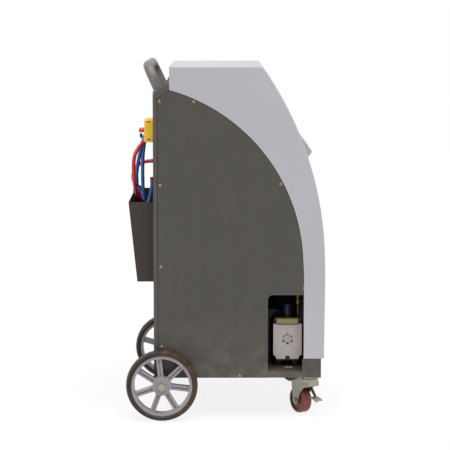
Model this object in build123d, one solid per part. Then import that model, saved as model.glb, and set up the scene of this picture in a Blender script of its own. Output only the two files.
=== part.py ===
from build123d import *
from math import acos, asin, atan2, cos, degrees, pi, radians, sin, tan
import os

# Air conditioning recharge station on two wheels and two casters, in millimetres.
# Laid out with X = 0 at the rear axle, +X to the front, Y = 0 in the middle, Z = 0 on the floor.
# At the end every piece is moved along X, so that the origin is the middle of the whole.

# Body
body_width = 520
body_height = 986
floor_gap = 115.4
back_to_axle = 23
side_front_x = 396
cover_front_x = 455.4
cover_rear_x = 22.5
sheet = 1.5
gap = 0.3
seam_gap = 1.6

# Base tray and what it carries at the front
base_sheet = 2
base_skirt = 18
base_front_x = 445
plinth_height = 36.4
plinth_rear_x = 392
floor_hole_diameter = 29
floor_hole_x = 359
floor_hole_y = -198

# Rear panel: the side strip beside each side panel, and the slanted top that carries the handle
strip_width = 11
flange_width = 26
slant_rear_drop = 77.2
slant_front_drop = 47.7
slant_front_x = 22.2
strip_top_width = 15
louvre_count = 11
louvre_pitch = 17
louvre_length = 86
louvre_height = 6
louvre_column_y = 52

# Line between side panel and cover, as two arcs that start upright at the front edge
seam_start_z = 376.8
seam_lower_radius = 1151.6
seam_turn = 4.86
seam_end_drop = 65.38

# Front line of the cover, as two arcs that start upright at the foremost point
front_start_z = 392.7
front_lower_radius = 1979.4
front_turn = 2.3
brow_x = 278.8
cover_wall = 3
cover_round = 6
cover_bottom_inset = 2.1

# Ledge under the control panel
ledge_width = 380
ledge_reach = 34
ledge_top_drop = 197.4
ledge_tip_drop = 241
ledge_bottom_drop = 257.9

# Window beside the pump
window_rear_x = 295.7
window_top_z = 349.9
window_round = 13

# Screws that hold the side panels, as X and distance under the top, or X and height
screw_head_diameter = 9
screw_head_height = 2.4
screw_shank_diameter = 4
upper_screws = ((-4.9, 97.8), (89.9, 97.8), (330.4, 326.0), (-3.8, 329.0))
lower_screws = ((-2.0, 429.3), (-1.4, 203.8), (217.1, 120.6))

# Control panel on the slope of the cover
panel_width = 380
panel_length = 190
panel_thickness = 4
panel_top_x = 290
panel_seat = 8
display_width = 112
display_height = 62
display_rise = 30
keypad_width = 150
keypad_height = 46
keypad_drop = 46
keypad_columns = 5
keypad_rows = 2
key_pitch = 26
gauge_offset = 132
gauge_radius = 38
gauge_depth = 30
gauge_bezel = 5
needle_length = 27

# Pull handle
handle_diameter = 28
handle_wall = 2
handle_half_span = 176
handle_tilt = 24.5
handle_rise = 12
handle_bend = 42
handle_foot_x = -9.3
handle_foot_thickness = 3.5
handle_foot_width = 58
handle_foot_length = 46

# Hose basket
basket_half_width = 200
basket_bottom_z = 379
basket_top_z = 604
basket_top_depth = 71.6
basket_bottom_depth = 48

# Main switch
switch_y = -150
switch_drop = 182.6
switch_size = 65.6
switch_depth = 27
knob_bar_width = 12
knob_bar_length = 40
knob_reach = 15.2
knob_boss_diameter = 12

# Power inlet
inlet_y = 150
inlet_z = 256
inlet_width = 50
inlet_height = 30
inlet_depth = 28

# Rear wheels
wheel_diameter = 200
tyre_thickness = 15
tyre_width = 38
wheel_side_gap = 8
rim_thickness = 8
rim_width = 30
spoke_count = 7
spoke_starts = {-1: 96, 1: 112.4}
spoke_width = 15
spoke_depth = 20
spoke_groove = 5
hub_radius = 26
hub_ring_radius = 17.5
hub_width = 40
axle_diameter = 16
axle_clearance = 0.08
nut_across = 19
nut_height = 8
bracket_y = 222
bracket_thickness = 6
bracket_width = 36

# Front casters
caster_x = 411.9
caster_y = 215
caster_wheel_diameter = 75
caster_wheel_width = 28
caster_trail = 38
caster_yaws = {"right": -57.5, "left": -42}
caster_plate_length = 60
caster_plate_width = 76
caster_plate_thickness = 3
race_radius = 25
race_height = 6
fork_gap = 1.5
fork_sheet = 2.5
fork_crown_z = 98
pedal_pin_x = -12
pedal_pin_z = 70
pedal_pin_radius = 2.5
pedal_sheet = 2.5
pedal_inner_y = -4

# Equipment shelf
shelf_clearance = 30.6
shelf_front_x = 335
shelf_flange = 20

# Refrigerant tank and scale
tank_x = 165
tank_radius = 98
tank_height = 380
tank_wall = 3
scale_side = 190
scale_height = 22
load_cell_height = 12

# Compressor
compressor_x = 265
compressor_y = 172
compressor_radius = 68
compressor_height = 190
compressor_wall = 4

# Vacuum pump
pump_x = 353.3
pump_front_y = -190
pump_cover_width = 80.6
pump_cover_height = 100.7
pump_cover_bottom_z = 155
pump_cover_thickness = 14
pump_body_length = 86
case_rise = 16
filler_boss = 6
pump_motor_radius = 48
pump_motor_length = 150
sight_glass_radius = 12.8
sight_glass_z = 213.7
filler_radius = 14.2
filler_top_z = 309
suction_x = 384
suction_y = -150
suction_valve_z = 309
suction_valve_length = 38
suction_bend_z = 506
suction_shelf_x = 310
stay_y = -88
stay_waist_z = 249
stay_top_z = 281

# Condenser and fan
condenser_depth = 34
condenser_side = 210
fan_z = 256
fan_side = 220
fan_depth = 26
fan_blade_radius = 94
fan_hub_radius = 26
fan_blades = 7
fan_blade_pitch = 28

# Things that stand on the base and on the shelf
drier_rear_x = 40
drier_pitch = 72
drier_y = 185
drier_radius = 30
drier_height = 170
board_box_x = (110, 250)
board_box_y = (-215, -18)
board_box_height = 120
bottle_rear_x = 150
bottle_pitch = 72
bottle_y = 150
bottle_radius = 29
bottle_height = 118
discharge_z = 400

# Service hoses
hose_diameter = 11
hose_coil_width = 150
hose_coil_height = 170
hose_coil_layers = 3
coil_bottom_z = 384
red_coil_y = 105
blue_coil_y = -105
coil_offset = 6
manifold_half_length = 190
pipe_bend = 14
post_diameters = {"high": 16, "low": 13}
coupler_radius = 12
coupler_length = 42
coupler_knob_radius = 11
coupler_knob_length = 16

# Worked out from the sizes above
half_width = body_width / 2
back_x = -back_to_axle
inner_y = half_width - sheet - gap
base_top_z = floor_gap + base_skirt
slant_rear_z = body_height - slant_rear_drop
slant_front_z = body_height - slant_front_drop
ledge_top_z = body_height - ledge_top_drop
ledge_tip_z = body_height - ledge_tip_drop
ledge_bottom_z = body_height - ledge_bottom_drop
switch_z = body_height - switch_drop
handle_top_z = body_height + handle_rise
shelf_z = base_top_z + scale_height + tank_height + shelf_clearance
side_screws = [(x, body_height - drop) for x, drop in upper_screws] + list(lower_screws)
plinth_top_z = base_top_z + plinth_height
cover_bottom_z = plinth_top_z + gap
wheel_radius = wheel_diameter / 2
axle_radius = axle_diameter / 2
slant_angle = degrees(atan2(slant_front_z - slant_rear_z, slant_front_x - back_x))


def upper_radius(start, radius, turn, end):
    """Radius of a second arc that goes on smoothly from the first and passes through the end point."""
    way = (cos(radians(turn)), sin(radians(turn)))
    joint = (start[0] - radius + radius * way[0], start[1] + radius * way[1])
    run = (joint[0] - end[0], joint[1] - end[1])
    return (run[0] ** 2 + run[1] ** 2) / (2 * (run[0] * way[0] + run[1] * way[1]))


seam_radii = (seam_lower_radius, upper_radius((side_front_x, seam_start_z), seam_lower_radius, seam_turn,
                                              (cover_rear_x, body_height - seam_end_drop)))
front_radii = (front_lower_radius, upper_radius((cover_front_x, front_start_z), front_lower_radius, front_turn,
                                                (brow_x, body_height)))


def block(x, y, z):
    """Box between the given limits along each axis."""
    return Pos(sum(x) / 2, sum(y) / 2, sum(z) / 2) * Box(x[1] - x[0], y[1] - y[0], z[1] - z[0])


def rod(start, end, radius):
    """Round bar from one point to another."""
    start, end = Vector(*start), Vector(*end)
    line = end - start
    return extrude(Plane(origin=start, z_dir=line) * Circle(radius), amount=line.length)


def tube(start, end, radius, bore):
    """Round bar with a bore along its whole length."""
    return rod(start, end, radius) - rod(start, end, bore)


def side_face(points):
    """Flat face in the XZ plane from its corners."""
    return make_face(Polyline([(x, 0, z) for x, z in points], close=True))


def prism(face, y):
    """Face in the XZ plane, carried from one Y to another."""
    return Pos(0, y[0], 0) * extrude(face, amount=y[1] - y[0], dir=(0, 1, 0))


def both_sides(shape):
    """Shape and its mirror image over the middle plane."""
    return [shape, mirror(shape, about=Plane.XZ)]


def arc_run(x, z, radii, turn, end_x=None, end_z=None):
    """Two tangent arcs that start upright and turn to the rear, the second up to a given X or Z; edges and points."""
    centre = (x - radii[0], z)
    joint = (centre[0] + radii[0] * cos(radians(turn)), centre[1] + radii[0] * sin(radians(turn)))
    middle = (centre[0] + radii[0] * cos(radians(turn / 2)), centre[1] + radii[0] * sin(radians(turn / 2)))
    second = (joint[0] - radii[1] * cos(radians(turn)), joint[1] - radii[1] * sin(radians(turn)))
    stop = asin((end_z - second[1]) / radii[1]) if end_x is None else acos((end_x - second[0]) / radii[1])
    half = (stop + radians(turn)) / 2
    points = [(x, z), joint, (second[0] + radii[1] * cos(stop), second[1] + radii[1] * sin(stop))]
    bulge = (second[0] + radii[1] * cos(half), second[1] + radii[1] * sin(half))
    edges = [ThreePointArc(*[(px, 0, pz) for px, pz in spots])
             for spots in ((points[0], middle, joint), (joint, bulge, points[2]))]
    return edges, points


def line(start, end):
    """Straight edge in the XZ plane."""
    return Line((start[0], 0, start[1]), (end[0], 0, end[1]))


def seam_edges(inset, end_x=cover_rear_x):
    """Line between side panel and cover, moved to the rear and down by inset."""
    radii = [radius - inset for radius in seam_radii]
    return arc_run(side_front_x - inset, seam_start_z, radii, seam_turn, end_x=end_x)


def front_edges(inset):
    """Front line of the cover, moved inwards by inset."""
    radii = [radius - inset for radius in front_radii]
    return arc_run(cover_front_x - inset, front_start_z, radii, front_turn, end_z=body_height - inset)


def face_from(edges):
    """Face inside a closed run of edges."""
    return make_face(edges)


def slant_z(x, drop=0):
    """Height of the slanted rear top at a given X, less a drop measured square to it."""
    return slant_rear_z + (x - back_x) * tan(radians(slant_angle)) - drop / cos(radians(slant_angle))


screw_spots = [(x, z, side) for x, z in side_screws for side in (-1, 1)]
screw_holes = [
    rod((x, side * (half_width + 1), z), (x, side * (half_width - 9), z), screw_shank_diameter / 2 + 0.2)
    for x, z, side in screw_spots
]


# Sheet metal body
def make_base_tray():
    """Plate with a round hole under the pump, and a skirt turned down along each of its four edges."""
    x = (back_x + sheet + gap, base_front_x)
    y = (-inner_y, inner_y)
    hole = rod((floor_hole_x, floor_hole_y, base_top_z - 9), (floor_hole_x, floor_hole_y, base_top_z + 9),
               floor_hole_diameter / 2)
    plate = block(x, y, (base_top_z - base_sheet, base_top_z)) - hole
    z = (floor_gap, base_top_z - base_sheet)
    skirts = [block(ends, y, z) for ends in ((x[0], x[0] + base_sheet), (x[1] - base_sheet, x[1]))]
    skirts += [block((x[0] + base_sheet, x[1] - base_sheet), ends, z) - screw_holes
               for ends in ((y[0], y[0] + base_sheet), (y[1] - base_sheet, y[1]))]
    return [plate] + skirts


def make_pump_stay():
    """Bent plate that stands on the base beside the pump, with a hole in its corner."""
    stay = prism(side_face([
        (window_rear_x + 1, base_top_z), (window_rear_x + 10, base_top_z), (window_rear_x + 10, stay_waist_z),
        (window_rear_x + 20, stay_top_z - 18), (window_rear_x + 38, stay_top_z - 18), (window_rear_x + 38, stay_top_z),
        (window_rear_x + 1, stay_top_z),
    ]), (stay_y, stay_y + base_sheet))
    hole_z = stay_top_z - 7
    return [stay - rod((window_rear_x + 7, stay_y - 3, hole_z), (window_rear_x + 7, stay_y + 5, hole_z), 3)]


def strip_face(rear, top, front_x):
    """Upright strip along the back edge that turns forward along the slanted top."""
    corner_x = back_x + rear
    return side_face([
        (back_x, floor_gap), (back_x, slant_rear_z), (front_x, slant_z(front_x)),
        (front_x, slant_z(front_x, top)), (corner_x, slant_z(corner_x, top)), (corner_x, floor_gap),
    ])


def make_rear_panel():
    """Back plate, slanted top, side strips and the stepped flanges that the side panels are screwed to."""
    wide = (-half_width, half_width)
    front_x = slant_front_x - gap
    back = block((back_x, back_x + sheet), wide, (floor_gap, slant_rear_z))
    top = prism(side_face([
        (back_x, slant_rear_z), (front_x, slant_z(front_x)),
        (front_x, slant_z(front_x, sheet)), (back_x, slant_z(back_x, sheet)),
    ]), wide)
    strip = prism(strip_face(strip_width, strip_top_width, front_x), (half_width - sheet, half_width))
    step = prism(strip_face(strip_width, strip_top_width, front_x), (inner_y - sheet, half_width))
    step -= prism(strip_face(strip_width - sheet, strip_top_width - sheet, front_x + 1), (0, half_width))
    step -= block((-half_width, half_width), (0, half_width + 1), (0, base_top_z + gap))
    flange = prism(strip_face(flange_width, strip_top_width + 12, front_x), (inner_y - sheet, inner_y))
    flange -= prism(strip_face(strip_width - sheet, strip_top_width - sheet, front_x + 1), (0, half_width))
    flange -= block((-half_width, half_width), (0, half_width), (0, base_top_z + gap))
    panel = back + top
    for side in (strip, step, flange):
        panel += both_sides(side)
    first_z = fan_z - (louvre_count - 1) / 2 * louvre_pitch
    slots = [
        Pos(back_x, y, first_z + row * louvre_pitch) * Rot(0, 90, 0) * extrude(
            Rot(0, 0, 90) * SlotOverall(louvre_length, louvre_height), amount=4, both=True)
        for row in range(louvre_count) for y in (-louvre_column_y, louvre_column_y)
    ]
    ports = [
        rod((back_x - 4, spot.Y, spot.Z), (back_x + 4, spot.Y, spot.Z), port_neck_radius + 0.2)
        for spot in (red_port, blue_port)
    ]
    inlet = block((back_x - 4, back_x + 4), (inlet_y - inlet_width / 2 + 3, inlet_y + inlet_width / 2 - 3),
                  (inlet_z - inlet_height / 2 + 3, inlet_z + inlet_height / 2 - 3))
    return [panel - slots - ports - inlet - screw_holes]


def side_outline(with_window):
    """Side panel inside the rear strip and the seam, with or without the corner left open beside the pump."""
    rear_x = back_x + strip_width + seam_gap
    seam, points = seam_edges(seam_gap)
    top_x = points[-1][0]
    start = (side_front_x - seam_gap, seam_start_z)
    rear_top = (rear_x, slant_z(rear_x, strip_top_width + seam_gap))
    front_top = (top_x, slant_z(top_x, strip_top_width + seam_gap))
    edges = list(seam)
    edges += [line(points[-1], front_top), line(front_top, rear_top), line(rear_top, (rear_x, floor_gap))]
    if with_window:
        corner = (window_rear_x + window_round, window_top_z)
        bend = (window_rear_x + window_round * (1 - cos(pi / 4)), window_top_z - window_round * (1 - sin(pi / 4)))
        lower = (window_rear_x, window_top_z - window_round)
        edges += [
            line((rear_x, floor_gap), (window_rear_x, floor_gap)),
            line((window_rear_x, floor_gap), lower),
            ThreePointArc(*[(px, 0, pz) for px, pz in (lower, bend, corner)]),
            line(corner, (start[0], window_top_z)),
            line((start[0], window_top_z), start),
        ]
    else:
        edges += [line((rear_x, floor_gap), (start[0], floor_gap)), line((start[0], floor_gap), start)]
    return face_from(edges)


def make_side_panel(side, with_window):
    """Flat sheet on one side of the body, with a hole for each screw."""
    y = (half_width - sheet, half_width) if side > 0 else (-half_width, sheet - half_width)
    return [prism(side_outline(with_window), y) - screw_holes]


# Front cover and control panel
def upper_front_arc():
    """Centre and radius of the upper arc of the front line."""
    points = front_edges(0)[1]
    radius = front_radii[1]
    return points[1][0] - radius * cos(radians(front_turn)), points[1][1] - radius * sin(radians(front_turn)), radius


def front_x_at(z):
    """X of the front line at a height on its upper arc."""
    centre_x, centre_z, radius = upper_front_arc()
    return centre_x + (radius ** 2 - (z - centre_z) ** 2) ** 0.5


def front_z_at(x):
    """Height of the front line at an X on its upper arc."""
    centre_x, centre_z, radius = upper_front_arc()
    return centre_z + (radius ** 2 - (x - centre_x) ** 2) ** 0.5


slope_top = Vector(panel_top_x, 0, front_z_at(panel_top_x))
slope_low = Vector(front_x_at(ledge_top_z), 0, ledge_top_z)
slope_up = (slope_top - slope_low).normalized()
slope_out = Vector(slope_up.Z, 0, -slope_up.X)
slope_plane = Plane(origin=(slope_top + slope_low) / 2, x_dir=(0, 1, 0), z_dir=slope_out)


def on_slope(shape):
    """Place a shape drawn with X across the panel, Y up its slope and Z out of its face."""
    return slope_plane * shape


def slope_block(x, y, z):
    """Box on the slope of the control panel."""
    return on_slope(block(x, y, z))


def cover_face(inset, open_side):
    """Side view of the cover, or of the hollow inside it when open_side is set."""
    front, points = front_edges(inset)
    top_z = body_height - inset
    bottom = (cover_front_x - cover_bottom_inset - inset, cover_bottom_z)
    rear = (cover_rear_x + inset, top_z)
    edges = list(front) + [line(points[-1], rear)]
    if open_side:
        low = (bottom[0], floor_gap)
        edges += [line(rear, (rear[0], floor_gap)), line((rear[0], floor_gap), low), line(low, points[0])]
        return face_from(edges)
    seam, seam_points = seam_edges(0)
    edges += [line(rear, seam_points[-1])] + seam
    edges += [line(seam_points[0], (side_front_x, cover_bottom_z)), line((side_front_x, cover_bottom_z), bottom),
              line(bottom, points[0])]
    return face_from(edges)


def ledge_face(inset):
    """Wedge that stands out of the front line under the control panel."""
    tip = (front_x_at(ledge_top_z) + ledge_reach - inset * 1.2, ledge_tip_z)
    top = (front_x_at(ledge_top_z) - inset, ledge_top_z)
    return side_face([
        top, tip, (front_x_at(ledge_bottom_z) - inset, ledge_bottom_z + inset),
        (front_x_at(ledge_bottom_z) - 20, ledge_bottom_z + inset), (front_x_at(ledge_top_z) - 20, ledge_top_z),
    ])


def seam_flange():
    """Strip of the cover that lies behind the side panel along the seam, as a band across the seam line."""
    outer, outer_points = seam_edges(-cover_wall)
    inner, inner_points = seam_edges(18)
    band = list(outer) + [line(outer_points[-1], inner_points[-1])] + list(inner)
    band += [line(inner_points[0], (inner_points[0][0], window_top_z + 12)),
             line((inner_points[0][0], window_top_z + 12), (outer_points[0][0], window_top_z + 12)),
             line((outer_points[0][0], window_top_z + 12), outer_points[0])]
    return prism(face_from(band), (inner_y - cover_wall, inner_y))


def make_front_cover():
    """Moulded shell over the front and top, with a ledge, a seat for the control panel and flanges at the seam."""
    whole = prism(cover_face(0, False), (-half_width, half_width))
    brow = whole.edges().filter_by(Axis.Y).sort_by(Axis.Z)[-2:].sort_by(Axis.X)[-1]
    whole = fillet(brow, cover_round)
    crown = [
        edge for edge in whole.edges()
        if abs(abs(edge.center().Y) - half_width) < 0.01 and edge.center().Z > cover_bottom_z + 5
        and (edge.center().Z > body_height - cover_round or edge.center().X > side_front_x + 2)
    ]
    whole = fillet(crown, cover_round * 0.9)
    whole += prism(ledge_face(0), (-ledge_width / 2, ledge_width / 2))
    hollow_y = half_width - cover_wall
    hollow = prism(cover_face(cover_wall, True), (-hollow_y, hollow_y))
    hollow += prism(ledge_face(cover_wall), (cover_wall - ledge_width / 2, ledge_width / 2 - cover_wall))
    seat = slope_block((-panel_width / 2 - 3, panel_width / 2 + 3), (-panel_length / 2 - 3, panel_length / 2 + 3),
                       (-panel_thickness - cover_wall, 12))
    cover = whole - (hollow - seat)
    pocket = slope_block((-panel_width / 2 - gap, panel_width / 2 + gap), (-panel_length / 2 - gap, panel_length / 2 + gap),
                         (-panel_thickness - gap, 40))
    opening = slope_block((panel_seat - panel_width / 2, panel_width / 2 - panel_seat),
                          (panel_seat - panel_length / 2, panel_length / 2 - panel_seat), (-40, 0))
    return [cover - pocket - opening + both_sides(seam_flange()) - screw_holes]


def make_front_plinth():
    """Folded sheet under the front of the cover, open below and behind."""
    z = (base_top_z + gap, plinth_top_z)
    x = (plinth_rear_x, base_front_x - 0.2)
    outer = block(x, (-inner_y, inner_y), z)
    outer -= block((x[0] - 1, x[1] - sheet), (sheet - inner_y, inner_y - sheet), (z[0] - 1, z[1] - sheet))
    return [outer - block((x[0] - 1, side_front_x), (sheet - inner_y, inner_y - sheet), z)]


gauge_spots = {"low": (-gauge_offset, 8), "high": (gauge_offset, 8)}


def make_control_panel():
    """Flat plate on the slope, open for the display and the two gauges."""
    plate = block((-panel_width / 2, panel_width / 2), (-panel_length / 2, panel_length / 2), (-panel_thickness, 0))
    plate -= block((-display_width / 2, display_width / 2),
                   (display_rise - display_height / 2, display_rise + display_height / 2), (-9, 9))
    for x, y in gauge_spots.values():
        plate -= rod((x, y, -9), (x, y, 9), gauge_radius + gap)
    return [on_slope(plate)]


def make_display():
    """Screen module behind the plate, with its glass in the plate's opening."""
    back = block((-display_width / 2 - 6, display_width / 2 + 6),
                 (display_rise - display_height / 2 - 6, display_rise + display_height / 2 + 6),
                 (-panel_thickness - 18, -panel_thickness))
    glass = block((gap - display_width / 2, display_width / 2 - gap),
                  (display_rise - display_height / 2 + gap, display_rise + display_height / 2 - gap),
                  (-panel_thickness, -1))
    return [on_slope(back + glass)]


def make_keypad():
    """Thin membrane pad on the plate, with a raised dome for each key."""
    pad = block((-keypad_width / 2, keypad_width / 2),
                (-keypad_drop - keypad_height / 2, keypad_height / 2 - keypad_drop), (0, 1))
    for column in range(keypad_columns):
        for row in range(keypad_rows):
            x = (column - (keypad_columns - 1) / 2) * key_pitch
            y = (row - (keypad_rows - 1) / 2) * key_pitch * 0.75 - keypad_drop
            pad += rod((x, y, 0.5), (x, y, 1.8), key_pitch * 0.28)
    return [on_slope(pad)]


dial_z = -8
lens_z = -0.5


def make_gauge_cases():
    """Cup behind the plate with a ring in front, stepped inside for the dial and the lens."""
    cases = []
    for x, y in gauge_spots.values():
        cup = rod((x, y, -gauge_depth), (x, y, gap), gauge_radius)
        cup += rod((x, y, gap), (x, y, 4), gauge_radius + gauge_bezel)
        cup -= rod((x, y, 1.5 - gauge_depth), (x, y, dial_z), gauge_radius - 5)
        cup -= rod((x, y, dial_z), (x, y, lens_z), gauge_radius - 2.5)
        cup -= rod((x, y, lens_z), (x, y, 5), gauge_radius - 1.5)
        cases.append(on_slope(cup))
    return cases


def make_gauge_dials():
    """Flat disc in each case, with a post that the needle turns on."""
    dials = []
    for x, y in gauge_spots.values():
        disc = rod((x, y, dial_z), (x, y, dial_z + 1), gauge_radius - 2.5 - gap)
        dials.append(on_slope(disc + rod((x, y, dial_z), (x, y, dial_z + 4), 1)))
    return dials


def make_gauge_lenses():
    """Clear disc in the ring of each gauge."""
    return [on_slope(rod((x, y, lens_z), (x, y, lens_z + 2), gauge_radius - 1.5 - gap))
            for x, y in gauge_spots.values()]


def make_needle(name):
    """Pointer with a hub around the dial's post, at the low end of its scale."""
    x, y = gauge_spots[name]
    z = dial_z + 1 + gap
    hub = rod((0, 0, z), (0, 0, z + 1.4), 4)
    blade = extrude(make_face(Polyline([(-2, -8), (2, -8), (0.5, needle_length), (-0.5, needle_length)], close=True)),
                    amount=0.8)
    needle = hub + Pos(0, 0, z) * blade - rod((0, 0, z - 1), (0, 0, z + 3), 1.06)
    return [on_slope(Pos(x, y, 0) * Rot(0, 0, 135) * needle)]


# Handle, basket and the things on the back
def make_pull_handle():
    """Bent tube with a plate foot on each arm."""
    lean = tan(radians(handle_tilt))
    top_z = handle_top_z - handle_diameter / 2
    foot_z = slant_z(handle_foot_x)

    def at(y, z):
        return (handle_foot_x - (z - foot_z) * lean, y, z)
    y = handle_half_span
    path = FilletPolyline(at(-y, foot_z - 12), at(-y, top_z), at(y, top_z), at(y, foot_z - 12), radius=handle_bend)
    start = Plane(origin=path @ 0, z_dir=path % 0)
    bar = sweep(start * Circle(handle_diameter / 2), path=path)
    bore = sweep(start * Circle(handle_diameter / 2 - handle_wall), path=path)
    below = prism(side_face([
        (back_x - 60, slant_z(back_x - 60, -gap - 1)), (slant_front_x + 60, slant_z(slant_front_x + 60, -gap - 1)),
        (slant_front_x + 60, floor_gap), (back_x - 60, floor_gap),
    ]), (-half_width, half_width))
    foot_plane = Plane(origin=(handle_foot_x + 4, 0, slant_z(handle_foot_x + 4, -gap)), x_dir=(0, 1, 0),
                       z_dir=(-sin(radians(slant_angle)), 0, cos(radians(slant_angle))))
    feet = []
    for side in (-1, 1):
        foot = Pos(side * handle_half_span, 0, handle_foot_thickness / 2) * Box(
            handle_foot_width, handle_foot_length, handle_foot_thickness)
        foot = fillet(foot.edges().filter_by(Axis.Z), 6)
        feet.append(foot_plane * foot)
    return [(bar - below + feet) - bore]


def make_hose_basket():
    """Open sheet box with a sloping outer wall, hung on the rear panel."""
    rear = back_x - gap

    def wall(inset, top, bottom):
        slope = (basket_top_depth - basket_bottom_depth) / (basket_top_z - basket_bottom_z)

        def depth(z):
            return back_x - basket_bottom_depth - slope * (z - basket_bottom_z) + inset
        return side_face([(rear - inset, bottom), (depth(bottom), bottom), (depth(top), top), (rear - inset, top)])
    outer = prism(wall(0, basket_top_z, basket_bottom_z), (-basket_half_width, basket_half_width))
    y = basket_half_width - sheet
    return [outer - prism(wall(sheet, basket_top_z + 5, basket_bottom_z + sheet), (-y, y))]


def make_switch_housing():
    """Square housing with rounded edges and two slots in each side."""
    half = switch_size / 2
    x = (back_x - switch_depth, back_x - gap)
    housing = block(x, (switch_y - half, switch_y + half), (switch_z - half, switch_z + half))
    housing = fillet(housing.edges().filter_by(Axis.X), 7)
    housing = fillet(housing.faces().sort_by(Axis.X)[0].edges(), 3)
    middle_x = sum(x) / 2
    for side in (-1, 1):
        for rise in (-1, 1):
            z = switch_z + rise * (half - 8)
            y = switch_y + side * half
            housing -= block((middle_x - 5, middle_x + 5), (y - 3, y + 3), (z - 1.8, z + 1.8))
    return [housing - rod((x[0] - 1, switch_y, switch_z), (x[0] + 12, switch_y, switch_z), 4 + axle_clearance)]


def make_switch_knob():
    """Bar knob with a round boss and a shaft in the housing."""
    face_x = back_x - switch_depth
    end_x = face_x - knob_reach
    bar = block((end_x, face_x - 3), (switch_y - knob_bar_length / 2, switch_y + knob_bar_length / 2),
                (switch_z - knob_bar_width / 2, switch_z + knob_bar_width / 2))
    bar = fillet(bar.edges().filter_by(Axis.X), 5)
    bar = fillet(bar.faces().sort_by(Axis.X)[0].edges(), 1.5)
    boss = rod((face_x - gap, switch_y, switch_z), (face_x - 4, switch_y, switch_z), knob_boss_diameter / 2)
    return [bar + boss + rod((face_x - gap, switch_y, switch_z), (face_x + 10, switch_y, switch_z), 4)]


def make_power_inlet():
    """Flanged inlet with a recess and three blades."""
    y = (inlet_y - inlet_width / 2, inlet_y + inlet_width / 2)
    z = (inlet_z - inlet_height / 2, inlet_z + inlet_height / 2)
    face_x = back_x - gap - 2
    flange = block((face_x, back_x - gap), (y[0] - 9, y[1] + 9), z)
    body = block((back_x - gap, back_x + inlet_depth), (y[0] + 3 + gap, y[1] - 3 - gap), (z[0] + 3 + gap, z[1] - 3 - gap))
    recess = block((face_x - 1, back_x + inlet_depth - 8), (y[0] + 7, y[1] - 7), (z[0] + 6, z[1] - 6))
    blades = [block((face_x + 5, back_x + inlet_depth - 6), (inlet_y + dy - 1, inlet_y + dy + 1),
                    (inlet_z + dz - 3, inlet_z + dz + 3)) for dy, dz in ((-10, -2), (0, 3), (10, -2))]
    return [flange + body - recess + blades]


# Wheels
def make_axle():
    """Round axle under the base, threaded into a nut outside each wheel."""
    end = half_width + wheel_side_gap + tyre_width / 2 + hub_width / 2 + nut_height
    bar = rod((0, -end, wheel_radius), (0, end, wheel_radius), axle_radius)
    collar = [tube((0, side * (bracket_y + bracket_thickness / 2 + gap), wheel_radius),
                   (0, side * (half_width + wheel_side_gap + tyre_width / 2 - hub_width / 2 - gap), wheel_radius),
                   axle_radius + 1, axle_radius - 0.5) for side in (-1, 1)]
    return [bar + collar]


def make_axle_nuts():
    """Hexagonal nut against each hub, on the end of the axle."""
    nuts = []
    for side in (-1, 1):
        start = half_width + wheel_side_gap + tyre_width / 2 + hub_width / 2 + gap
        face = Plane(origin=(0, side * start, wheel_radius), z_dir=(0, side, 0)) * RegularPolygon(nut_across / 2, 6, False)
        nut = extrude(face, amount=nut_height - gap + 1)
        nuts.append(nut - rod((0, side * (start - 1), wheel_radius), (0, side * (start + nut_height + 9), wheel_radius),
                              axle_radius + 0.02))
    return nuts


def make_axle_brackets():
    """Plate hanger on each side that holds the axle under the base."""
    hangers = []
    for side in (-1, 1):
        y = sorted((side * (bracket_y - bracket_thickness / 2), side * (bracket_y + bracket_thickness / 2)))
        top_z = base_top_z - base_sheet
        hanger = block((-bracket_width / 2, bracket_width / 2), y, (wheel_radius, top_z))
        hanger += rod((0, y[0], wheel_radius), (0, y[1], wheel_radius), bracket_width / 2)
        ledge_y = sorted((side * (bracket_y - 24), side * (bracket_y + bracket_thickness / 2)))
        hanger += block((-bracket_width / 2, bracket_width / 2), ledge_y, (top_z - 3, top_z))
        hangers.append(hanger - rod((0, y[0] - 1, wheel_radius), (0, y[1] + 1, wheel_radius), axle_radius + axle_clearance))
    return hangers


def wheel_centre(side):
    """Y of the middle of a rear wheel."""
    return side * (half_width + wheel_side_gap + tyre_width / 2)


def make_rear_tyre(side):
    """Tyre with a crowned tread, round the rim."""
    inner = wheel_radius - tyre_thickness
    half = tyre_width / 2
    profile = Plane.YZ * make_face([
        Line((-half + 3, inner), (-half, inner + 4)), Line((-half, inner + 4), (-half, wheel_radius - 5)),
        ThreePointArc((-half, wheel_radius - 5), (0, wheel_radius), (half, wheel_radius - 5)),
        Line((half, wheel_radius - 5), (half, inner + 4)), Line((half, inner + 4), (half - 3, inner)),
        Line((half - 3, inner), (-half + 3, inner)),
    ])
    ring = revolve(profile, axis=Axis.Y)
    return [Pos(0, wheel_centre(side), wheel_radius) * ring]


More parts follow.
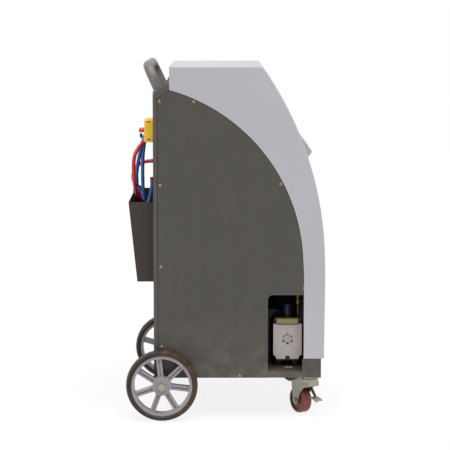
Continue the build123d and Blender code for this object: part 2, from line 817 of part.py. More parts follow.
def make_rear_rim(side):
    """Rim ring, hub with a raised ring round the nut, and grooved spokes that reach from one to the other."""
    outer = wheel_radius - tyre_thickness - 0.1
    bed = outer - rim_thickness
    ring = rod((0, -rim_width / 2, 0), (0, rim_width / 2, 0), outer) - rod((0, -rim_width, 0), (0, rim_width, 0), bed)
    hub = rod((0, -hub_width / 2, 0), (0, hub_width / 2 - 4, 0), hub_radius)
    hub += rod((0, hub_width / 2 - 5, 0), (0, hub_width / 2, 0), hub_ring_radius)
    bar = block((hub_radius - 4, bed + 2), (-spoke_depth / 2, spoke_depth / 2), (-spoke_width / 2, spoke_width / 2))
    bar -= block((hub_radius + 2, bed - 4), (spoke_depth / 2 - 4, spoke_depth), (-spoke_groove / 2, spoke_groove / 2))
    bar = bar - hub - ring
    bore = rod((0, -hub_width, 0), (0, hub_width, 0), axle_radius + axle_clearance)
    pieces = [ring, hub - bore]
    for number in range(spoke_count):
        angle = spoke_starts[side] + number * 360 / spoke_count
        pieces.append(Rot(0, -angle if side > 0 else angle - 180, 0) * bar)
    facing = Rot(0, 0, 180) if side < 0 else Rot(0, 0, 0)
    return [Pos(0, wheel_centre(side), wheel_radius) * facing * piece for piece in pieces]


# Casters: drawn with the swivel axis at the origin and the wheel behind it, then turned and moved
caster_radius = caster_wheel_diameter / 2
leg_y = caster_wheel_width / 2 + fork_gap


def place_caster(side, shape):
    """Turn a caster piece about its swivel axis and move it under its corner of the base."""
    sign = -1 if side == "right" else 1
    return Pos(caster_x, sign * caster_y, 0) * Rot(0, 0, caster_yaws[side]) * shape


def make_caster_rail():
    """Channel under the base plate that the caster plates are bolted to."""
    x = (caster_x - caster_plate_length / 2, caster_x + caster_plate_length / 2)
    z = (floor_gap + caster_plate_thickness, base_top_z - base_sheet)
    y = inner_y - base_sheet - 1
    return [block(x, (-y, y), z) - block((x[0] + 3, x[1] - 3), (-y - 1, y + 1), (z[0] + 3, z[1] + 1))]


def make_caster_plates():
    """Top plate and upper race of each caster, fixed to the rail."""
    plates = []
    for sign in (-1, 1):
        plate = Pos(0, 0, floor_gap + caster_plate_thickness / 2) * Box(
            caster_plate_length, caster_plate_width, caster_plate_thickness)
        plate = fillet(plate.edges().filter_by(Axis.Z), 6)
        race = rod((0, 0, floor_gap - race_height), (0, 0, floor_gap), race_radius)
        bore = rod((0, 0, floor_gap - race_height - 1), (0, 0, floor_gap), 5 + axle_clearance)
        plates.append(Pos(caster_x, sign * caster_y, 0) * (plate + race - bore))
    return plates


def make_caster_fork(side):
    """Swivel head, crown with a front wall, two legs, axle bolt, pedal stud and king pin of one caster."""
    head_top = floor_gap - race_height - gap
    head = rod((0, 0, fork_crown_z), (0, 0, head_top - 3), race_radius + 3)
    head += rod((0, 0, head_top - 3.5), (0, 0, head_top), race_radius - 3)
    head += rod((0, 0, fork_crown_z), (0, 0, floor_gap - gap), 5)
    outer_y = leg_y + fork_sheet
    front_x = race_radius + 1
    rear_x = -caster_trail - 20
    outline = side_face([
        (-caster_trail - 13, caster_radius + 2.5), (-caster_trail - 9, caster_radius - 9.5),
        (-caster_trail, caster_radius - 13.5), (-caster_trail + 9, caster_radius - 9.5),
        (-caster_trail + 13, caster_radius + 2.5), (-caster_trail + 20, caster_radius + 20.5), (0, fork_crown_z - 20),
        (front_x, fork_crown_z - 12), (front_x, fork_crown_z + 1), (-race_radius - 3, fork_crown_z + 1),
        (rear_x, fork_crown_z - 8), (rear_x, fork_crown_z - 14),
    ])
    shell = prism(outline, (-outer_y, outer_y))
    hollow = side_face([
        (rear_x - 9, 0), (front_x - fork_sheet, 0), (front_x - fork_sheet, fork_crown_z - fork_sheet),
        (-race_radius - 2, fork_crown_z - fork_sheet), (rear_x - 9, fork_crown_z - 16),
    ])
    fork = shell - prism(hollow, (-leg_y, leg_y)) + head
    bolt = rod((-caster_trail, -outer_y - 4, caster_radius), (-caster_trail, outer_y + 4, caster_radius), 4)
    for sign in (-1, 1):
        bolt += rod((-caster_trail, sign * outer_y, caster_radius), (-caster_trail, sign * (outer_y + 5), caster_radius), 6.5)
    stud_end = outer_y + pedal_sheet + 2 * gap
    stud = rod((pedal_pin_x, outer_y - 1, pedal_pin_z), (pedal_pin_x, stud_end + 1, pedal_pin_z), pedal_pin_radius)
    stud += rod((pedal_pin_x, stud_end, pedal_pin_z), (pedal_pin_x, stud_end + 2, pedal_pin_z), pedal_pin_radius + 2)
    return [place_caster(side, fork + bolt + stud)]


def make_caster_wheel(side):
    """Tread with rounded shoulders on a core with a raised hub, bored for the axle bolt."""
    half = caster_wheel_width / 2
    tread = rod((0, -half, 0), (0, half, 0), caster_radius)
    tread = fillet(tread.edges(), 5)
    dish = [tube((0, sign * half, 0), (0, sign * (half - 3), 0), caster_radius - 9, 10) for sign in (-1, 1)]
    wheel = tread - dish + rod((0, -half - 1, 0), (0, half + 1, 0), 9)
    wheel -= rod((0, -half - 2, 0), (0, half + 2, 0), 4 + axle_clearance)
    return [place_caster(side, Pos(-caster_trail, 0, caster_radius) * wheel)]


def make_brake_pedal(side):
    """Foot pedal on the fork's stud: an arm beside the leg and a curved foot plate in front of the wheel."""
    x, z = pedal_pin_x, pedal_pin_z
    arm = side_face([
        (x - 6, z - 4), (x - 4, z + 5), (x + 4, z + 5), (x + 20, z - 12), (x + 26, z - 19), (x + 29, z - 20),
        (x + 27, z - 37), (x + 21, z - 31), (x + 14, z - 20), (x, z - 7),
    ])
    inner = leg_y + fork_sheet + gap
    plate = side_face([
        (x + 20, z - 18), (x + 26, z - 17.5), (x + 38, z - 18), (x + 46, z - 20.5), (x + 52, z - 24), (x + 50, z - 26),
        (x + 45, z - 23), (x + 37, z - 20.5), (x + 26, z - 20), (x + 20, z - 20.5),
    ])
    pedal = prism(arm, (inner, inner + pedal_sheet)) + prism(plate, (pedal_inner_y, inner + pedal_sheet))
    pedal -= rod((x, inner - 1, z), (x, inner + pedal_sheet + 1, z), pedal_pin_radius + axle_clearance)
    return [place_caster(side, pedal)]


# Equipment inside
def make_equipment_shelf():
    """Shelf across the body with its edges turned down, open where a pipe goes down to the tank."""
    x = (back_x + sheet + gap, shelf_front_x)
    y = inner_y - sheet - gap
    shelf = block(x, (-y, y), (shelf_z - shelf_flange, shelf_z))
    shelf -= block((x[0] + sheet, x[1] - sheet), (sheet - y, y - sheet), (shelf_z - shelf_flange - 1, shelf_z - sheet))
    return [shelf - rod((tank_x, 0, shelf_z - 9), (tank_x, 0, shelf_z + 9), 14)]


def make_scale():
    """Load cell bar on the base and the platform that it carries."""
    cell = block((tank_x - 65, tank_x + 65), (-15, 15), (base_top_z, base_top_z + load_cell_height))
    platform = block((tank_x - scale_side / 2, tank_x + scale_side / 2), (-scale_side / 2, scale_side / 2),
                     (base_top_z + load_cell_height, base_top_z + scale_height))
    inside = block((tank_x - scale_side / 2 + 2, tank_x + scale_side / 2 - 2), (2 - scale_side / 2, scale_side / 2 - 2),
                   (base_top_z + load_cell_height - 1, base_top_z + scale_height - 3))
    pad = block((tank_x + 30, tank_x + 65), (-15, 15), (base_top_z + load_cell_height, base_top_z + scale_height - 2))
    return [cell + pad + (platform - inside)]


def make_refrigerant_tank():
    """Welded bottle with domed ends on a foot ring, with a valve boss on top."""
    foot_z = base_top_z + scale_height
    bottom = foot_z + 12
    top = foot_z + tank_height
    shell = fillet(rod((tank_x, 0, bottom), (tank_x, 0, top), tank_radius).edges(), 55)
    inner = fillet(rod((tank_x, 0, bottom + tank_wall), (tank_x, 0, top - tank_wall), tank_radius - tank_wall).edges(),
                   55 - tank_wall)
    ring = tube((tank_x, 0, foot_z), (tank_x, 0, bottom + 20), tank_radius - 26, tank_radius - 29)
    boss = rod((tank_x, 0, top - 2), (tank_x, 0, top + 12), 12)
    return [shell + ring + boss - inner]


def make_compressor():
    """Sealed pot with its motor inside, on a round foot plate with three feet."""
    bottom = base_top_z + 14
    top = bottom + compressor_height
    centre = (compressor_x, compressor_y)
    wall = compressor_wall
    pot = fillet(rod((*centre, bottom), (*centre, top), compressor_radius).edges(), 30)
    pot -= fillet(rod((*centre, bottom + wall), (*centre, top - wall), compressor_radius - wall).edges(), 30 - wall)
    pot += rod((*centre, bottom + wall - 1), (*centre, bottom + compressor_height * 0.55), compressor_radius - 22)
    pot += rod((*centre, bottom - 4), (*centre, bottom + 1), compressor_radius + 8)
    for number in range(3):
        angle = radians(30 + 120 * number)
        x = compressor_x + (compressor_radius - 6) * cos(angle)
        y = compressor_y + (compressor_radius - 6) * sin(angle)
        pot += rod((x, y, base_top_z), (x, y, bottom - 3), 9)
    stub = (compressor_x - compressor_radius + 32, compressor_y)
    pot += rod((*stub, top - 3), (*stub, top + 14), 5)
    return [pot]


pump_body_y = (pump_front_y + pump_cover_thickness + gap, pump_front_y + pump_cover_thickness + pump_body_length)
pump_motor_z = pump_cover_bottom_z + pump_cover_height * 0.56
case_top_z = pump_cover_bottom_z + pump_cover_height + case_rise


def make_pump_cover():
    """End cover of the oil case: raised top corners, notched bottom corners, openings for sight glass and drain."""
    half = pump_cover_width / 2
    low, high = pump_cover_bottom_z, pump_cover_bottom_z + pump_cover_height
    face = side_face([
        (pump_x - half + 9, low), (pump_x + half - 9, low), (pump_x + half - 8, low + 6), (pump_x + half - 5, low + 10),
        (pump_x + half, low + 12), (pump_x + half, high), (pump_x + half - 9, high), (pump_x + half - 11, high - 3),
        (pump_x - half + 11, high - 3), (pump_x - half + 9, high), (pump_x - half, high), (pump_x - half, low + 12),
        (pump_x - half + 5, low + 10), (pump_x - half + 8, low + 6),
    ])
    cover = prism(face, (pump_front_y, pump_front_y + pump_cover_thickness))
    cover = fillet(cover.faces().sort_by(Axis.Y)[0].edges().filter_by(Axis.X).sort_by(Axis.Z)[-1:], 1)
    front = pump_front_y
    cover -= rod((pump_x, front - 1, sight_glass_z), (pump_x, front + 8, sight_glass_z), sight_glass_radius + 0.1)
    cover -= rod((pump_x, front - 1, low + 3), (pump_x, front + 9, low + 3), 7)
    for number in range(6):
        angle = radians(60 * number + 90)
        x = pump_x + (sight_glass_radius + 1.5) * cos(angle)
        z = sight_glass_z + (sight_glass_radius + 1.5) * sin(angle)
        cover -= rod((x, front - 1, z), (x, front + 2, z), 2)
    return [cover]


def make_pump_sight_glass():
    """Round glass in the end cover."""
    start = pump_front_y + 1
    return [rod((pump_x, start, sight_glass_z), (pump_x, pump_front_y + 8, sight_glass_z), sight_glass_radius - 3)
            + rod((pump_x, start + 3, sight_glass_z), (pump_x, pump_front_y + 8, sight_glass_z), sight_glass_radius)]


def make_pump_body():
    """Oil case and pump block on a base plate with rubber feet, with a drain plug under the cover."""
    half = pump_cover_width / 2 - 3
    low, high = pump_cover_bottom_z + 3, case_top_z
    case = block((pump_x - half, pump_x + half), pump_body_y, (low, high))
    case = fillet(case.edges().filter_by(Axis.Y), 6)
    foot_z = base_top_z + 10
    plate = block((pump_x - half + 4, pump_x + half - 4), (pump_body_y[0] + 20, pump_body_y[1] + pump_motor_length - 10),
                  (foot_z, foot_z + 4))
    body = case + plate + block((pump_x - 26, pump_x + 26), (pump_body_y[0] + 20, pump_body_y[1]), (foot_z, low + 4))
    for y in (pump_body_y[0] + 30, pump_body_y[1] + pump_motor_length - 22):
        for x in (pump_x - 24, pump_x + 24):
            body += rod((x, y, base_top_z), (x, y, foot_z + 1), 9)
    body += rod((pump_x, pump_body_y[0] + 24, high - 2), (pump_x, pump_body_y[0] + 24, high + filler_boss), 9)
    return [body]


def make_pump_filler_cap():
    """Tall round exhaust and filler cap on top of the oil case."""
    y = pump_body_y[0] + 24
    start = case_top_z + filler_boss + gap
    cap = rod((pump_x, y, start), (pump_x, y, filler_top_z), filler_radius)
    return [fillet(cap.edges(), 2)]


def make_pump_motor():
    """Finned motor behind the pump block, seated on the base plate."""
    start = pump_body_y[1] + gap
    end = start + pump_motor_length
    motor = rod((pump_x, start, pump_motor_z), (pump_x, end, pump_motor_z), pump_motor_radius - 5)
    for number in range(18):
        angle = 20 * number
        fin = block((pump_motor_radius - 7, pump_motor_radius), (start + 12, end - 26), (-1, 1))
        motor += Pos(pump_x, 0, pump_motor_z) * Rot(0, -angle, 0) * fin
    motor += rod((pump_x, end - 24, pump_motor_z), (pump_x, end, pump_motor_z), pump_motor_radius)
    motor += block((pump_x - 30, pump_x + 30), (start + 20, end - 30), (base_top_z + 14 + gap, pump_motor_z - 30))
    return [motor]


def make_filter_driers():
    """Two upright canisters with a clamp and a foot each."""
    driers = []
    for number in range(2):
        x, y = drier_rear_x + drier_pitch * number, drier_y
        top = base_top_z + drier_height
        can = fillet(rod((x, y, base_top_z + 26), (x, y, top), drier_radius).edges(), drier_radius / 3)
        can += rod((x, y, base_top_z), (x, y, base_top_z + 30), 14)
        can += rod((x, y, top - 5), (x, y, top + 16), 6)
        driers.append(can)
    return driers


manifold_x = 45
manifold_z = shelf_z + 44


def make_valve_manifold():
    """Drilled block on two feet with a row of valve coils."""
    body = block((manifold_x - 20, manifold_x + 20), (-manifold_half_length, manifold_half_length),
                 (shelf_z + 8, manifold_z))
    for y in (30 - manifold_half_length, manifold_half_length - 30):
        body += block((manifold_x - 26, manifold_x + 26), (y - 12, y + 12), (shelf_z, shelf_z + 9))
    for number in range(6):
        y = -90 + 36 * number
        body += rod((manifold_x, y, manifold_z - 1), (manifold_x, y, manifold_z + 30), 7)
        body += rod((manifold_x, y, manifold_z + 4), (manifold_x, y, manifold_z + 26), 14)
    return [body]


def make_suction_valve():
    """Turned valve body in the line over the pump, with a port that points inwards."""
    x, y, low = suction_x, suction_y, suction_valve_z
    high = low + suction_valve_length
    valve = rod((x, y, low), (x, y, low + 12), 9) + rod((x, y, low + 10), (x, y, high - 4), 7)
    return [valve + rod((x, y, high - 8), (x, y, high), 9) + rod((x, y, high - 16), (x, y + 22, high - 16), 5)]


condenser_x = (back_x + sheet + 3, back_x + sheet + 3 + condenser_depth)


def make_condenser():
    """Tube and fin block behind the louvres, on two feet."""
    half = condenser_side / 2
    core = block(condenser_x, (-half, half), (fan_z - half, fan_z + half))
    cut = [block((condenser_x[0] - 1, condenser_x[1] + 1), (8 - half, half - 8),
                 (fan_z - half + 10 + 14 * row, fan_z - half + 18 + 14 * row)) for row in range(14)]
    core -= cut
    for y in (-half + 8, half - 8):
        core += block(condenser_x, (y - 8, y + 8), (base_top_z, fan_z - half + 1))
    return [core]


fan_x = (condenser_x[1] + gap, condenser_x[1] + gap + fan_depth)


def make_fan_frame():
    """Square frame with a round opening, four struts and the motor in the middle, on two feet."""
    half = fan_side / 2
    frame = block(fan_x, (-half, half), (fan_z - half, fan_z + half))
    frame -= rod((fan_x[0] - 1, 0, fan_z), (fan_x[1] + 1, 0, fan_z), fan_blade_radius + 6)
    for angle in (45, 135):
        bar = block((-3, 0), (-fan_blade_radius - 10, fan_blade_radius + 10), (-5, 5))
        frame += Pos(fan_x[1], 0, fan_z) * Rot(angle, 0, 0) * bar
    frame += rod((fan_x[1] - 3, 0, fan_z), (fan_x[1] + 14, 0, fan_z), 22)
    frame += rod((fan_x[0] + 4, 0, fan_z), (fan_x[1] - 2, 0, fan_z), 3)
    for y in (-half + 12, half - 12):
        frame += block(fan_x, (y - 12, y + 12), (base_top_z, fan_z - half + 1))
    return [frame]


def make_fan_rotor():
    """Hub with twisted blades on the motor's shaft."""
    x = (fan_x[0] + 3, fan_x[1] - 4)
    hub = rod((x[0], 0, fan_z), (x[1], 0, fan_z), fan_hub_radius)
    blades = []
    for number in range(fan_blades):
        blade = Pos(0, 0, (fan_blade_radius + fan_hub_radius) / 2 - 1) * Rot(0, 0, fan_blade_pitch) * Box(
            2.2, 34, fan_blade_radius - fan_hub_radius + 2)
        blades.append(Pos(sum(x) / 2, 0, fan_z) * Rot(number * 360 / fan_blades, 0, 0) * blade)
    return [hub + blades - rod((x[0] - 1, 0, fan_z), (x[1] + 1, 0, fan_z), 3 + axle_clearance)]


def make_electronics_box():
    """Closed sheet box on the shelf with a lid and a fuse holder."""
    x, y, z = board_box_x, board_box_y, (shelf_z, shelf_z + board_box_height)
    box = block(x, y, z) - block((x[0] + 2, x[1] - 2), (y[0] + 2, y[1] - 2), (z[0] + 2, z[1] - 2))
    board = block((x[0] + 12, x[1] - 12), (y[0] + 12, y[1] - 12), (z[0] + 2, z[0] + 14))
    lid = block((x[0] - 3, x[1] + 3), (y[0] - 3, y[1] + 3), (z[1] - 1, z[1] + 1))
    return [box + board + lid]


def make_oil_bottles():
    """Three bottles with necks and caps, standing on the shelf."""
    bottles = []
    for number in range(3):
        x, y = bottle_rear_x + bottle_pitch * number, bottle_y
        top = shelf_z + bottle_height
        body = fillet(rod((x, y, shelf_z), (x, y, top), bottle_radius).edges(), 6)
        body += rod((x, y, top - 6), (x, y, top + 14), 13)
        body += rod((x, y, top + 10), (x, y, top + 24), 16)
        bottles.append(body)
    return bottles


def pipe(points, radius=4):
    """Round pipe through the points, with a bend at each corner."""
    runs = [(Vector(*after) - Vector(*before)).length for before, after in zip(points, points[1:])]
    path = FilletPolyline(*points, radius=min(pipe_bend, 0.45 * min(runs)))
    return sweep(Plane(origin=path @ 0, z_dir=path % 0) * Circle(radius), path=path)


# Hose routes, as distance from the back face, Y and Z, chosen by hand
red_down = ((-4, 150, 690), (-30, 150, 690), (-52, 150, 685), (-68, 150.5, 671.5), (-77, 151, 651),
            (-75.5, 152, 629.5), (-65.5, 153.5, 610), (-56, 156, 590), (-48, 160.5, 567), (-42, 168, 541),
            (-38, 174.3, 509))
red_up = ((-12, 35.5, 509), (-11, 34.5, 528), (-11.5, 27, 547), (-13, 11, 562), (-18, -13, 572),
          (-28, -40, 581), (-41, -69, 594), (-51, -94, 611), (-57, -111, 635), (-60, -118, 663),
          (-61, -118, 692), (-60, -116, 718), (-54, -107, 740))
blue_down = ((-7.2, -128, 658), (-7.2, -128, 644), (-10.5, -129, 627), (-15, -134, 609), (-21, -143, 587),
             (-27, -154, 561), (-33, -166, 532), (-36, -173.5, 507))
blue_up = ((-14, -35.5, 507), (-19, -35, 527), (-28, -27, 550), (-36, -12, 575), (-39.5, 5, 602),
           (-41, 20, 633), (-42, 32, 667), (-42, 41, 696), (-41, 43.5, 720), (-38, 40.8, 745),
           (-33, 27.6, 768), (-30, 4.7, 781.3), (-31, -21.7, 781.3), (-36, -44.6, 768), (-42, -57.8, 745),
           (-48, -60, 716), (-53, -60, 690))


port_neck_radius = 7.5
port_stub_radius = 6.5
red_port = Vector(back_x - 4, 150, 690)
blue_port = Vector(back_x - 4, -128, 668)
port_inside_x = back_x + 16


def make_suction_line():
    """Pipe from the pump's case up to its valve, and on to the shelf."""
    x, y = suction_x, suction_y
    lower = rod((x, y, case_top_z), (x, y, suction_valve_z), 4)
    upper = pipe([(x, y, suction_valve_z + suction_valve_length), (x, y, suction_bend_z),
                  (suction_shelf_x, y, suction_bend_z), (suction_shelf_x, y, shelf_z - sheet)])
    return [lower, upper]


def make_copper_pipes():
    """Pipes from the ports to the manifold, down to the tank, and from the compressor to the condenser."""
    tank_top = base_top_z + scale_height + tank_height + 12
    condenser_top = fan_z + condenser_side / 2
    stub_x = compressor_x - compressor_radius + 32
    stub_z = base_top_z + 14 + compressor_height + 14
    return [
        pipe([(port_inside_x, red_port.Y, red_port.Z), (manifold_x, red_port.Y, red_port.Z),
              (manifold_x, red_port.Y, manifold_z)]),
        pipe([(port_inside_x, blue_port.Y, blue_port.Z), (manifold_x, blue_port.Y, blue_port.Z),
              (manifold_x, blue_port.Y, manifold_z)]),
        pipe([(manifold_x + 20, 60, shelf_z + 26), (100, 60, shelf_z + 26), (100, 30, shelf_z + 26),
              (tank_x, 30, shelf_z + 26), (tank_x, 0, shelf_z + 26), (tank_x, 0, tank_top)]),
        pipe([(stub_x, compressor_y, stub_z), (stub_x, compressor_y, discharge_z), (0, compressor_y, discharge_z),
              (0, 80, discharge_z), (0, 80, condenser_top)]),
    ] + make_suction_line()


def make_hose_ports():
    """Bulkhead fitting for each hose: a nut outside, a neck through the panel and a body inside."""
    ports = []
    for spot in (red_port, blue_port):
        neck = rod((spot.X, spot.Y, spot.Z), (back_x + sheet + gap + 1, spot.Y, spot.Z), port_neck_radius)
        nut = rod((spot.X, spot.Y, spot.Z), (back_x - gap, spot.Y, spot.Z), port_neck_radius + 4)
        inner = rod((back_x + sheet + gap, spot.Y, spot.Z), (port_inside_x, spot.Y, spot.Z), port_neck_radius + 3)
        ports.append(neck + nut + inner)
    x = back_x + blue_down[0][0]
    ports[1] += rod((x, blue_port.Y, blue_port.Z), (x, blue_port.Y, blue_down[0][2]), port_stub_radius)
    return ports


# Couplers: drawn along Y with the socket at the start, and a nipple for the hose square to it
holder_y = -42
hook_y = -6
hook_reach = 44
high_coupler_spot = Vector(back_x - 13, holder_y - 2 - gap, 782)
low_coupler_spot = Vector(back_x - 54, -27, 625)


def make_coupler_holder():
    """Bracket with a parking post, and a hook that carries the blue hose."""
    x, z = high_coupler_spot.X, high_coupler_spot.Z
    plate = block((x - 14, back_x - gap), (holder_y - 2, holder_y), (z - 15, z + 15))
    plate += block((back_x - gap - 2, back_x - gap), (holder_y - 2, holder_y + 20), (z - 15, z + 15))
    plate += rod((x, holder_y, z), (x, holder_y - 16, z), post_diameters["high"] / 2 - 0.3)
    crown_z = hose_path(blue_up, [low_hose_lead, low_hose_end])[0].bounding_box().max.Z
    hook_z = crown_z - hose_diameter / 2 - gap - 4
    hook = pipe([(back_x - gap, hook_y, hook_z), (back_x - hook_reach, hook_y, hook_z),
                 (back_x - hook_reach, hook_y, hook_z + 12)])
    return [plate + hook]


def make_coupler(kind, spot, direction, nipple):
    """Quick coupler with a stepped sleeve, a socket bore and a hose nipple."""
    way = Vector(0, direction, 0)
    end = spot + way * coupler_length
    body = rod(tuple(spot), tuple(spot + way * (coupler_length * 0.55)), coupler_radius)
    body += rod(tuple(spot + way * (coupler_length * 0.5)), tuple(end), coupler_radius - 2.5)
    body -= rod(tuple(spot - way), tuple(spot + way * 15), post_diameters[kind] / 2)
    root = spot + way * (coupler_length * 0.78)
    out = Vector(*nipple).normalized()
    body += rod(tuple(root), tuple(root + out * nipple_length), 5)
    return [body]


def make_coupler_knob(spot, direction):
    """Ribbed knob on the closed end of a coupler, on a short stem."""
    way = Vector(0, direction, 0)
    start = spot + way * (coupler_length + gap)
    end = start + way * coupler_knob_length
    knob = rod(tuple(start), tuple(end), coupler_knob_radius)
    for number in range(8):
        angle = radians(45 * number)
        side = Vector(cos(angle), 0, sin(angle)) * (coupler_knob_radius + 0.6)
        knob -= rod(tuple(start + side - way), tuple(end + side + way), 2.2)
    return [knob]


nipple_length = 18
high_nipple = (-0.72, -0.3, -0.62)
low_nipple = (-0.05, 0, 1)


def nipple_end(spot, direction, nipple):
    """Point where a hose leaves a coupler."""
    root = spot + Vector(0, direction, 0) * (coupler_length * 0.78)
    return root + Vector(*nipple).normalized() * nipple_length


high_hose_end = nipple_end(high_coupler_spot, -1, high_nipple)
low_hose_end = nipple_end(low_coupler_spot, -1, low_nipple)
high_hose_lead = high_hose_end + Vector(*high_nipple).normalized() * 18
low_hose_lead = low_hose_end + Vector(*low_nipple).normalized() * 20


def hose_path(points, ends):
    """Straight runs joined by arcs as large as the runs allow, and the radii."""
    spots = [Vector(back_x + x, y, z) for x, y, z in points] + ends
    radii = []
    for before, here, after in zip(spots, spots[1:], spots[2:]):
        turn = radians((here - before).get_angle(after - here))
        radii.append(0.45 * min((here - before).length, (after - here).length) / tan(turn / 2))
    return FilletPolyline(*spots, radius=radii), radii


def make_hose(name, routes):
    """Hose as round tubes along its free stretches."""
    tubes = []
    for points, ends in routes:
        path, radii = hose_path(points, ends)
        solid = sweep(Plane(origin=path @ 0, z_dir=path % 0) * Circle(hose_diameter / 2), path=path)
        expected = pi * (hose_diameter / 2) ** 2 * path.length
        print(name, "length", round(path.length), "volume share", round(solid.volume / expected, 4),
              "radii", [round(radius) for radius in radii])
        tubes.append(solid)
    return tubes


def make_hose_coil(y):
    """Outer shape of the turns that lie in the basket."""
    x = back_x - coil_offset
    width = hose_coil_layers * hose_diameter
    half = hose_coil_width / 2
    middle_z = coil_bottom_z + hose_coil_height / 2
    plane = Plane(origin=(x, y, middle_z), x_dir=(0, 0, 1), z_dir=(-1, 0, 0))
    ring = SlotOverall(hose_coil_height, hose_coil_width)
    ring -= SlotOverall(hose_coil_height - 2 * hose_diameter, 2 * (half - hose_diameter))
    return [extrude(plane * ring, amount=width)]


# Fasteners
def make_panel_screws():
    """Domed screws through the side panels."""
    screws = []
    for x, z, side in screw_spots:
        y = side * (half_width + 0.1)
        head = rod((x, y, z), (x, y + side * screw_head_height, z), screw_head_diameter / 2)
        head = fillet(head.edges().sort_by(Axis.Y)[-1 if side > 0 else 0], screw_head_height * 0.6)
        screws.append(head + rod((x, y, z), (x, y - side * 7, z), screw_shank_diameter / 2))
    return screws


def make_hex_bolts():
    """Bolts at the corners of the caster plates and on the front edge of the handle's feet."""
    bolts = []
    for sign in (-1, 1):
        for dx in (-1, 1):
            for dy in (-1, 1):
                x = caster_x + dx * (caster_plate_length / 2 - 8)
                y = sign * caster_y + dy * (caster_plate_width / 2 - 7)
                face = Plane(origin=(x, y, floor_gap - gap), z_dir=(0, 0, -1)) * RegularPolygon(4.6, 6, False)
                bolts.append(extrude(face, amount=4))
        for dy in (-1, 1):
            normal = Vector(-sin(radians(slant_angle)), 0, cos(radians(slant_angle)))
            x = slant_front_x - 9
            y = sign * handle_half_span + dy * (handle_foot_width / 2 - 8)
            spot = Vector(x, y, slant_z(x, -gap)) + normal * (handle_foot_thickness + gap)
            bolts.append(extrude(Plane(origin=spot, z_dir=normal) * RegularPolygon(4.6, 6, False), amount=4))
    return bolts


sides = {"right": -1, "left": 1}
nodes = {
    "base_tray": make_base_tray() + make_caster_rail() + make_pump_stay(),
    "rear_panel": make_rear_panel(),
    "side_panel_right": make_side_panel(-1, True),
    "side_panel_left": make_side_panel(1, False),
    "front_cover": make_front_cover(),
    "front_plinth": make_front_plinth(),
    "control_panel": make_control_panel(),
    "display": make_display(),
    "keypad": make_keypad(),
    "gauge_cases": make_gauge_cases(),
    "gauge_dials": make_gauge_dials(),
    "gauge_lenses": make_gauge_lenses(),
    "low_needle": make_needle("low"),
    "high_needle": make_needle("high"),
    "pull_handle": make_pull_handle(),
    "hose_basket": make_hose_basket(),
    "switch_housing": make_switch_housing(),
    "switch_knob": make_switch_knob(),
    "power_inlet": make_power_inlet(),
    "axle": make_axle(),
    "axle_brackets": make_axle_brackets(),
    "caster_plates": make_caster_plates(),
    "equipment_shelf": make_equipment_shelf(),
    "scale": make_scale(),
    "refrigerant_tank": make_refrigerant_tank(),
    "compressor": make_compressor(),
    "pump_cover": make_pump_cover(),
    "pump_sight_glass": make_pump_sight_glass(),
    "vacuum_pump": make_pump_body() + make_pump_motor(),
    "pump_filler_cap": make_pump_filler_cap(),
    "filter_driers": make_filter_driers(),
    "valve_manifold": make_valve_manifold() + make_suction_valve(),
    "condenser": make_condenser(),
    "fan_frame": make_fan_frame(),
    "fan_rotor": make_fan_rotor(),
    "electronics_box": make_electronics_box(),
    "oil_bottles": make_oil_bottles(),
    "copper_pipes": make_copper_pipes(),
    "hose_ports": make_hose_ports(),
    "coupler_holder": make_coupler_holder(),
    "high_coupler": make_coupler("high", high_coupler_spot, -1, high_nipple),
    "low_coupler": make_coupler("low", low_coupler_spot, -1, low_nipple),
    "high_coupler_knob": make_coupler_knob(high_coupler_spot, -1),
    "low_coupler_knob": make_coupler_knob(low_coupler_spot, -1),
    "red_hose": make_hose("red", ((red_down, []), (red_up, [high_hose_lead, high_hose_end]))),
    "blue_hose": make_hose("blue", ((blue_down, []), (blue_up, [low_hose_lead, low_hose_end]))),
    "red_hose_coil": make_hose_coil(red_coil_y),
    "blue_hose_coil": make_hose_coil(blue_coil_y),
    "panel_screws": make_panel_screws(),
    "hex_bolts": make_hex_bolts() + make_axle_nuts(),
}
for side, sign in sides.items():
    nodes["rear_tyre_" + side] = make_rear_tyre(sign)
    nodes["rear_rim_" + side] = make_rear_rim(sign)
    nodes["caster_fork_" + side] = make_caster_fork(side)
    nodes["caster_wheel_" + side] = make_caster_wheel(side)
    nodes["brake_pedal_" + side] = make_brake_pedal(side)

rearmost = min(-wheel_radius, back_x - basket_top_depth)
foremost = cover_front_x
middle_x = (rearmost + foremost) / 2
print("nodes", len(nodes), "middle", round(middle_x, 3))

os.makedirs("parts", exist_ok=True)
for name, solids in nodes.items():
    moved = [Pos(-middle_x, 0, 0) * solid for solid in solids]
    shape = moved[0] if len(moved) == 1 else Compound(children=moved)
    export_step(shape, "parts/" + name + ".step")
